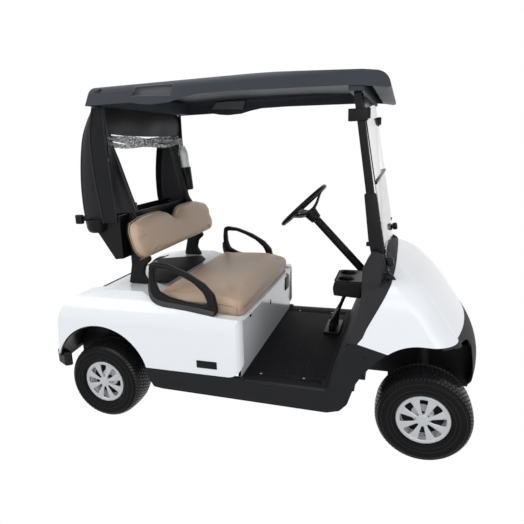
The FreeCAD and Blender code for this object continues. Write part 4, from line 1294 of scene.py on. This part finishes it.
@dataclass
class Windshield:
    """Two clear panes that meet at a fold, with its strip, and the clips and knobs that hold them."""

    fold: float = 1.2935
    foot: Pair = (0.7055, 1.000)
    head: Pair = (0.5950, 1.664)
    clip_y: float = 0.488
    clip_z: float = 1.578
    strip_half: float = 0.503
    half_gap: float = 0.0015
    sleeve: Sequence[Pair] = ((0.611, 1.247), (0.662, 1.247), (0.695, 1.046), (0.7030, 0.985), (0.646, 0.985),
                              (0.633, 1.046))
    foot_cover: Sequence[Pair] = ((0.656, 1.000), (0.632, 0.958), (0.614, 0.917), (0.611, 0.840),
                                  (0.612, 0.784), (0.632, 0.757), (0.690, 0.790), (0.704, 0.985))
    cap: Sequence[Pair] = ((-218, 846), (-208, 876), (-192, 893), (-174, 896), (-152, 880), (-134, 852),
                           (-126, 832))

    def at(self, height: float, off: float = 0.0) -> Vector:
        """A point of the panes' middle plane at Y 0.

        Args:
            height: Its Z.
            off: How far in front of the plane.

        Returns:
            The point.
        """
        (x0, z0), (x1, z1) = self.foot, self.head
        along = Vector((abs(x1 - x0), 0, -abs(z1 - z0))).normalized()
        share = (height - z0) / (z1 - z0)
        return Vector((x0 + (x1 - x0) * share, 0, height)) + Vector((-along.z, 0, along.x)) * off

    def pane(self, low: float, high: float) -> Mesh:
        """The part of the glass between two heights.

        Args:
            low: The lower height.
            high: The upper height.

        Returns:
            The working mesh.
        """
        mesh = node_form("windshield")
        for level, above in ((low, -1), (high, 1)):
            cut = bmesh.ops.bisect_plane(mesh, geom=mesh.verts[:] + mesh.edges[:] + mesh.faces[:], dist=CLOSE,
                                         plane_co=(0, 0, level), plane_no=(0, 0, above), clear_outer=True)
            edges = [e for e in cut["geom_cut"] if isinstance(e, bmesh.types.BMEdge)]
            if edges:
                bmesh.ops.contextual_create(mesh, geom=edges)
        return mesh

    def build(self) -> None:
        """Build the panes, the fold's strip, the clips and the knobs."""
        below, above = 0.5, 2.0
        finished("windshield_lower_pane", self.pane(below, self.fold - self.half_gap), ACRYLIC,
                 replaces=["windshield"])
        finished("windshield_upper_pane", self.pane(self.fold + self.half_gap, above), ACRYLIC)
        mesh, feet = bmesh.new(), bmesh.new()
        at = self.at(self.fold, 0.003)
        join(mesh, brick((at.x - 0.005, -self.strip_half, self.fold - 0.007),
                         (at.x + 0.004, self.strip_half, self.fold + 0.007), 0.002, 2))
        at = self.at(self.clip_z)
        knob = [(0.0, -0.010), (0.012, -0.010), (0.014, -0.005), (0.021, -0.003), (0.023, 0.010),
                (0.019, 0.022), (0.0, 0.024)]
        for side in Side:
            y = side.value * self.clip_y
            join(mesh, brick((at.x - 0.070, y - 0.026, 1.552), (at.x + 0.010, y + 0.026, 1.603), 0.004, 3))
            join(mesh, brick((at.x - 0.004, y - 0.016, 1.560), (at.x + 0.020, y + 0.016, 1.604), 0.004, 3))
            join(mesh, lathe(knob, (0.721, y, 0.944), 24, (1, 0, 0.16), closed=False))
            join(mesh, slab(from_axle(FRONT_AXLE_X, self.cap), *side.between(0.4680, 0.4860), "xz", 0.005, 3))
            join(mesh, slab(self.sleeve, *side.between(0.4660, 0.5100), "xz", 0.006, 3))
            join(feet, slab(self.foot_cover, *side.between(0.4700, 0.5440), "xz", 0.012, 4))
            for x, z in ((0.634, 1.024), (0.700, 0.992)):
                join(mesh, brick((x - 0.010, y - 0.012, z - 0.009),
                                 (x + 0.010, y + 0.012, z + 0.009), 0.004, 3))
        finished("windshield_fittings", mesh, BLACK)
        finished("strut_foot_covers", feet, DASH)


@dataclass
class SandBottle:
    """A pale bottle in a black holder on the rear strut."""

    lean: float = 5.0
    foot: Point = (REAR_AXLE_X + 0.139, 0.4263, 1.193)

    def build(self) -> None:
        """Build the bottle and its holder."""
        up = (-math.sin(math.radians(self.lean)), 0, math.cos(math.radians(self.lean)))
        holder = [(0.0, 0.0), (0.028, 0.0), (0.0325, 0.005), (0.0335, 0.02), (0.0335, 0.150), (0.0315, 0.153),
                  (0.0300, 0.150), (0.0300, 0.012), (0.0, 0.012)]
        bottle = [(0.0, 0.014), (0.026, 0.014), (0.028, 0.020), (0.028, 0.185), (0.0265, 0.190),
                  (0.028, 0.195), (0.028, 0.235), (0.026, 0.258), (0.019, 0.276), (0.016, 0.280),
                  (0.016, 0.294), (0.0, 0.295)]
        finished("bottle_holder", lathe(holder, self.foot, 48, up, closed=False), BLACK,
                 replaces=["sand_bottle"])
        finished("sand_bottle_body", lathe(bottle, self.foot, 48, up, closed=False), FROST)


# ------------------------------------------------------------------ bag cover


@dataclass
class BagCover:
    """The rain cover behind the seat: fabric sides with piping, a flap and a rolled clear window."""

    flap_side: Side = Side.RIGHT
    rows: Sequence[tuple[float, float, float, float]] = (
        # height, then the rear's, the seam's and the front's X from the rear axle
        (1102, -84, 45, 112), (1160, -92, 38, 110), (1230, -94, 30, 108), (1306, -92, 21, 104),
        (1400, -82, 15, 98), (1490, -66, 14, 92), (1560, -46, 18, 90), (1630, -10, 32, 90),
        (1688, 30, 49, 90))
    strut: Sequence[Pair] = (
        # height and place of the strut's front edge, from the rear axle
        (1150, 196), (1240, 166), (1330, 137), (1420, 108), (1500, 80), (1600, 66), (1690, 60))
    pipes: Sequence[tuple[int, float, float, float]] = (
        # which column of the rows, its Y, the pipe's radius and how far ahead it lies in millimetres
        (1, 0.465, 0.0038, 8), (2, 0.4915, 0.0046, 0), (3, 0.468, 0.0042, 0))

    def side(self, side: Side) -> Mesh:
        """One side's fabric, from the rear corner round to the front edge.

        Args:
            side: Which side.

        Returns:
            The working mesh.
        """
        lines = []
        for height, rear, seam, front in self.rows:
            keys = [(rear - 8, 408), (rear - 2, 436), (rear + 8, 464), ((rear + seam) / 2, 481), (seam, 490),
                    ((seam + front) / 2, 482), (front, 468)]
            lines.append([Vector((REAR_AXLE_X + x * MM, side.value * y * MM, height * MM))
                          for x, y, _ in smooth_line([(x, y, 0) for x, y in keys], 5)])
        return skin([smooth_line([line[k] for line in lines], 4) for k in range(len(lines[0]))])

    def build(self) -> None:
        """Build both sides, the flap to the near strut, the piping and the window."""
        for side in Side:
            self.cloth(f"cover_side_{side.word}", self.side(side), 0.587,
                       ["bag_cover"] if side is Side.LEFT else [], f"rear_strut_{side.word}")
            self.piping(side)
        self.flap(self.flap_side)
        self.valance()
        self.window()

    def cloth(self, name: str, mesh: Mesh, length: float, replaces: Sequence[str],
              rests_on: str) -> None:
        """Give a sheet its thickness and make it a piece in the cover fabric.

        Args:
            name: The sheet's name.
            mesh: The open sheet.
            length: Its length before it was hung. Not used.
            replaces: The CAD nodes it stands for.
            rests_on: What holds it. Not used.
        """
        area = sum(face.calc_area() for face in mesh.faces)
        bmesh.ops.solidify(mesh, geom=mesh.faces[:], thickness=0.003)
        made = finished(name, mesh, FABRIC, replaces=replaces, crease=60)

    def flap(self, side: Side) -> None:
        """The front part of a side, drawn in to the strut, with two soft folds.

        Args:
            side: Which side.
        """
        lines = []
        for height, end in self.strut:
            front = 112 - 22 * (height - 1100) / 590
            lines.append([Vector((REAR_AXLE_X + (front + (end - front) * t) * MM,
                                  side.value * (0.466 - 0.068 * t
                                                + 0.005 * math.sin(9 * t + height / 90) * (1 - t)),
                                  height * MM)) for t in (k / 12 for k in range(13))])
        mesh = skin([smooth_line([line[k] for line in lines], 4) for k in range(13)])
        self.cloth(f"cover_flap_{side.word}", mesh, 0.545, [], f"rear_strut_{side.word}")

    def piping(self, side: Side) -> None:
        """The round piping along the rear corner, the seam and the front edge.

        Args:
            side: Which side.
        """
        mesh = bmesh.new()
        for pick, y, radius, push in self.pipes:
            line = smooth_line([(REAR_AXLE_X + (row[pick] + push) * MM, side.value * y, row[0] * MM)
                                for row in self.rows], 4)
            join(mesh, tube(line, radius, 10))
        if side is self.flap_side:
            edge = [(REAR_AXLE_X + x * MM, side.value * 0.3975, z * MM) for z, x in self.strut]
            join(mesh, tube(smooth_line(edge, 5), 0.0115, 12))
        finished(f"cover_piping_{side.word}", mesh, PIPING)

    def valance(self) -> None:
        """The dark flap across the top, which sags a little between the sides."""
        lines = []
        for k in range(13):
            t = k / 12
            lines.append([Vector((REAR_AXLE_X + 0.067 + 0.010 * math.sin(t * 2.6)
                                  + 0.003 * math.sin(17 * y + 2 * t) * t,
                                  y, 1.690 - 0.128 * t - 0.014 * math.cos(y * 3.3) * t))
                          for y in (-0.462 + 0.924 * i / 48 for i in range(49))])
        self.cloth("cover_valance", skin(lines), 0.924, [], "roof")

    def window(self) -> None:
        """The clear window, rolled up in loose folds under the flap."""
        mesh = bmesh.new()
        # how far each fold hangs over the middle, its radius, and how far ahead it lies
        folds = ((0.0, 0.025, 0.0), (-0.026, 0.020, 0.010), (0.014, 0.016, -0.014))
        for turn, (drop, radius, ahead) in enumerate(folds):
            line = [(REAR_AXLE_X + 0.076 + ahead + 0.005 * math.sin(9 * y + turn), y,
                     1.536 + drop + 0.006 * math.sin(13 * y + 2 * turn) - 0.016 * math.cos(y * 3.3))
                    for y in (-0.452 + 0.904 * k / 72 for k in range(73))]
            radii = [radius * (1 + 0.28 * math.sin(3.1 * k + turn) * math.sin(1.7 * k)) for k in range(73)]
            join(mesh, tube(line, radii, 14, flat=0.6))
        tail = smooth_line([(REAR_AXLE_X + 0.082, 0.440, 1.530), (REAR_AXLE_X + 0.092, 0.436, 1.480),
                            (REAR_AXLE_X + 0.080, 0.428, 1.425)], 8)
        radii = [0.020 - 0.011 * k / 16 + 0.003 * math.sin(3 * k) for k in range(17)]
        join(mesh, tube(tail, radii, 12, flat=0.4))
        finished("cover_window_roll", mesh, VINYL)


# ------------------------------------------------------------------ roof trim, small parts and liners


ROOF_RECESS = from_axle(REAR_AXLE_X, ((301, 1720), (337, 1762), (534, 1760), (514, 1708)))


@dataclass
class RoofTrim:
    """The lining of the hand recess in each side of the roof, a lighter grey than the roof as painted light,
    and a black plate near the rear as painted shade in the notch.
    """

    face_y: float = 0.5500
    deep: float = 0.030
    # outline of the black plate that paints the shade inside the rear notch
    notch: Sequence[Pair] = ((104, 1730), (112, 1756), (148, 1766), (146, 1742))

    def build(self) -> None:
        """Build the trim of both sides."""
        painted_light_pockets, notch_painted_shades = bmesh.new(), bmesh.new()
        for side in Side:
            mesh = slab(ROOF_RECESS, *side.between(self.face_y, self.face_y - self.deep))
            bmesh.ops.bisect_plane(mesh, geom=mesh.verts[:] + mesh.edges[:] + mesh.faces[:], dist=CLOSE,
                                   plane_co=(0, side.value * (self.face_y - 0.001), 0),
                                   plane_no=(0, side.value, 0), clear_outer=True)
            bmesh.ops.recalc_face_normals(mesh, faces=mesh.faces)
            bmesh.ops.solidify(mesh, geom=mesh.faces[:], thickness=0.003)
            join(painted_light_pockets, mesh)
            # painted shade: a thin black plate standing just proud of the roof stands in for the shade in the
            # rear notch
            join(notch_painted_shades, slab(from_axle(REAR_AXLE_X, self.notch),
                               *side.between(self.face_y + 0.0016, self.face_y - 0.006), "xz", 0.001, 2))
        # the lining's lighter grey is painted light on the recess' inner face
        finished("roof_hand_recess_painted_light", painted_light_pockets, POCKET_PAINTED_LIGHT)
        finished("roof_rear_notch_painted_shade", notch_painted_shades, BLACK)


@dataclass
class HipRailBase:
    """The broad flared foot of a hip rail, along the edge of the body."""

    line: Sequence[Pair] = ((334, 800), (337, 762), (353, 726), (396, 706), (470, 697), (560, 687),
                            (640, 676), (684, 668))
    centre_y: float = 0.5570
    thin: float = 0.0150
    swell: float = 0.0110

    def build(self) -> None:
        """Build the foot of both rails."""
        mesh = bmesh.new()
        for side in Side:
            line = from_axle(REAR_AXLE_X, self.line)
            points = smooth_line([(x, side.value * self.centre_y, z) for x, z in line], 5)
            last = len(points) - 1
            radii = [self.thin + self.swell * min(1.0, 3.0 * k / last) for k in range(last + 1)]
            join(mesh, tube(points, radii, 18, flat=0.84))
        # the feet's lighter grey is painted top light
        finished("hip_rail_bases", mesh, RAIL_FOOT_PAINTED_LIGHT, crease=60)


@dataclass
class BagRackEnds:
    """The round cradle cup at each end of the bag rack, and the caps of its bar."""

    cup: Point = (REAR_AXLE_X - 0.012, 0.468, 1.050)

    def build(self) -> None:
        """Build the cups and the caps."""
        mesh = bmesh.new()
        profile = [(0.0, 0.0), (0.034, 0.0), (0.046, 0.008), (0.053, 0.026), (0.057, 0.062), (0.0595, 0.066),
                   (0.0575, 0.070), (0.0530, 0.066), (0.0480, 0.028), (0.0, 0.008)]
        x, y, z = self.cup
        for side in Side:
            join(mesh, lathe(profile, (x, side.value * y, z), 48, (0, 0, 1), closed=False))
            low, high = side.between(0.296, 0.322)
            join(mesh, brick((REAR_AXLE_X - 0.262, low, 1.066), (REAR_AXLE_X - 0.214, high, 1.120), 0.007, 3))
        finished("bag_rack_cups", mesh, BLACK, crease=50)


@dataclass
class ConsoleTrim:
    """The raised rims round the console's top and its two cup wells."""

    top: float = 0.7420
    rear_x: float = 0.4380
    half_y: float = 0.1240
    wells_y: Pair = (-0.066, 0.066)

    def build(self) -> None:
        """Build the rims."""
        mesh = bmesh.new()
        line = [(0.605, -self.half_y), (0.456, -self.half_y), (self.rear_x, -0.106), (self.rear_x, 0.106),
                (0.456, self.half_y), (0.605, self.half_y)]
        join(mesh, tube([(x, y, self.top - 0.001) for x, y in line], 0.0034, 10))
        ring = [(0.0380, -0.002), (0.0390, 0.0022), (0.0415, 0.0030), (0.0440, 0.0016), (0.0445, -0.002)]
        for y in self.wells_y:
            join(mesh, lathe(ring, (FRONT_AXLE_X - 0.404, y, self.top), 40, (0, 0, 1)))
        finished("console_rims", mesh, DASH)


@dataclass
class PedalBox:
    """The plate under the pedals, the ribs on their pads, their arms and the sill of the floor."""

    ribs: int = 6
    arms_y: Pair = (0.150, 0.268)
    pads_y: Sequence[Pair] = ((0.124, 0.176), (0.220, 0.315))

    def build(self) -> None:
        """Build the plate, the ribs, the arms and the sill that closes the gap before the dash."""
        mesh = slab([(0.345, 0.100), (0.345, 0.335), (0.440, 0.335), (0.440, 0.100)], 0.3392, 0.3560, "xy",
                    0.006, 3)
        for y in self.arms_y:
            arm = smooth_line([(0.425, y, 0.470), (0.445, y, 0.530), (0.470, y, 0.590)], 6)
            join(mesh, tube(arm, 0.010, 12))
            join(mesh, brick((0.372, y - 0.020, 0.352), (0.404, y + 0.020, 0.392), 0.005, 3))
        for low_y, high_y in self.pads_y:
            for k in range(self.ribs):
                share = (k + 0.5) / self.ribs
                x, z = 0.3765 + 0.056 * share, 0.402 + 0.102 * share
                join(mesh, brick((x - 0.0030, low_y, z - 0.004), (x + 0.0045, high_y, z + 0.004), 0.0015, 2))
        join(mesh, brick((0.400, -0.500, 0.302), (0.585, 0.500, 0.318)))
        finished("pedal_box", mesh, BLACK)


@dataclass
class Underbody:
    """The liners that close the view behind the wheels: arch shells, inner walls and splash skirts."""

    arch_centre: Pair = (REAR_AXLE_X + 0.012, 0.270)
    arch_r: float = 0.2860
    reach: float = 0.262
    skirt: Sequence[Pair] = ((135, 258), (212, 258), (232, 330), (240, 400), (238, 480), (135, 480))

    def build(self) -> None:
        """Build the liners of both ends."""
        mesh = bmesh.new()
        outer = arc(self.arch_centre, self.arch_r, 17, 163, 40)
        inner = arc(self.arch_centre, self.arch_r - 0.003, 163, 17, 40)
        feet = [(REAR_AXLE_X - self.reach, 0.300), (REAR_AXLE_X + self.reach, 0.300)]
        wall_x = FRONT_AXLE_X - self.reach
        for side in Side:
            join(mesh, slab(outer + inner, *side.between(0.386, 0.592)))
            join(mesh, slab(outer + feet, *side.between(0.378, 0.386)))
            low, high = side.between(0.230, 0.480)
            join(mesh, brick((wall_x - 0.004, low, 0.400), (wall_x, high, 0.600)))
            low, high = side.between(0.226, 0.232)
            join(mesh, brick((wall_x, low, 0.345), (FRONT_AXLE_X + 0.150, high, 0.600)))
            join(mesh, slab(from_axle(FRONT_AXLE_X, self.skirt), *side.between(0.222, 0.228), "xz", 0.001, 1))
        finished("wheel_liners", mesh, BLACK)


# ------------------------------------------------------------------ the whole cart


def mouldings() -> list[Moulding]:
    """Every moulded piece, in the order in which they are built.

    Returns:
        The pieces.
    """
    return [
        Moulding("rear_body", WHITE, "white_body", 0.006, 4),
        Moulding("seat_panel", WHITE, "white_body", 0.004, 3),
        Moulding("front_cowl", WHITE, "white_body", 0.003, 3),
        Moulding("front_bumper", DASH, width=0.004),
        Moulding("rear_bumper", SILL, width=0.010),
        *(Moulding(f"rocker_{side.word}", SILL, width=0.008, segments=4, across=0.045) for side in Side),
        Moulding("dash", DASH, width=0.004),
        Moulding("console", BLACK, voxel=0.0035, rounds=16),
        Moulding("bag_well", BLACK, width=0.004),
        *(Moulding(f"armrest_{side.word}", BLACK, voxel=0.005, rounds=14) for side in Side),
        *(Moulding(f"rear_strut_{side.word}", BLACK, "chassis_steel", voxel=0.005, rounds=8)
          for side in Side),
        *(Moulding(f"front_strut_{side.word}", BLACK, "chassis_steel", 0.005) for side in Side),
        Moulding("basket", BLACK, width=0.004),
        Moulding("roof", ROOF, "roof_plastic", 0.008, 4, recess=ROOF_RECESS),
        Moulding("pedals", BLACK, width=0.002, segments=2),
        Moulding("steering_wheel", BLACK, body="steering", voxel=0.0024, rounds=14),
        Moulding("steering_column", BLACK, width=0.002, segments=2),
    ]


def dress_nodes() -> None:
    """Give every CAD node the finish of its slot."""
    slots = {entry["node"]: entry["material_slot"] for entry in frame["record"]["subparts"]}
    for name, node in frame["nodes"].items():
        node.data.materials.clear()
        node.data.materials.append(SLOT_FINISH[slots[name]].material())
        node.data.shade_smooth()
    log.info("%d nodes have their finish", len(slots))


def main() -> None:
    """Build the stage and every piece of the cart."""
    logging.basicConfig(level=logging.INFO, format="%(message)s")
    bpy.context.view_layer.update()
    Studio().build()
    dress_nodes()
    for panel in mouldings():
        panel.build()
    for side in Side:
        Wheel("front", side, FRONT_AXLE_X, FRONT_HALF_TRACK).build()
        Wheel("rear", side, REAR_AXLE_X, REAR_HALF_TRACK).build()
    for piece in (Bench(), HipRailBase(), FloorMat(), PedalBox(), ConsoleTrim(), SillTrim(), Windshield(),
                  SandBottle(), BagCover(), BagRackEnds(), RoofTrim(), Underbody()):
        piece.build()
        log.info("%s is in place", type(piece).__name__)


if __name__ == "__main__":
    main()
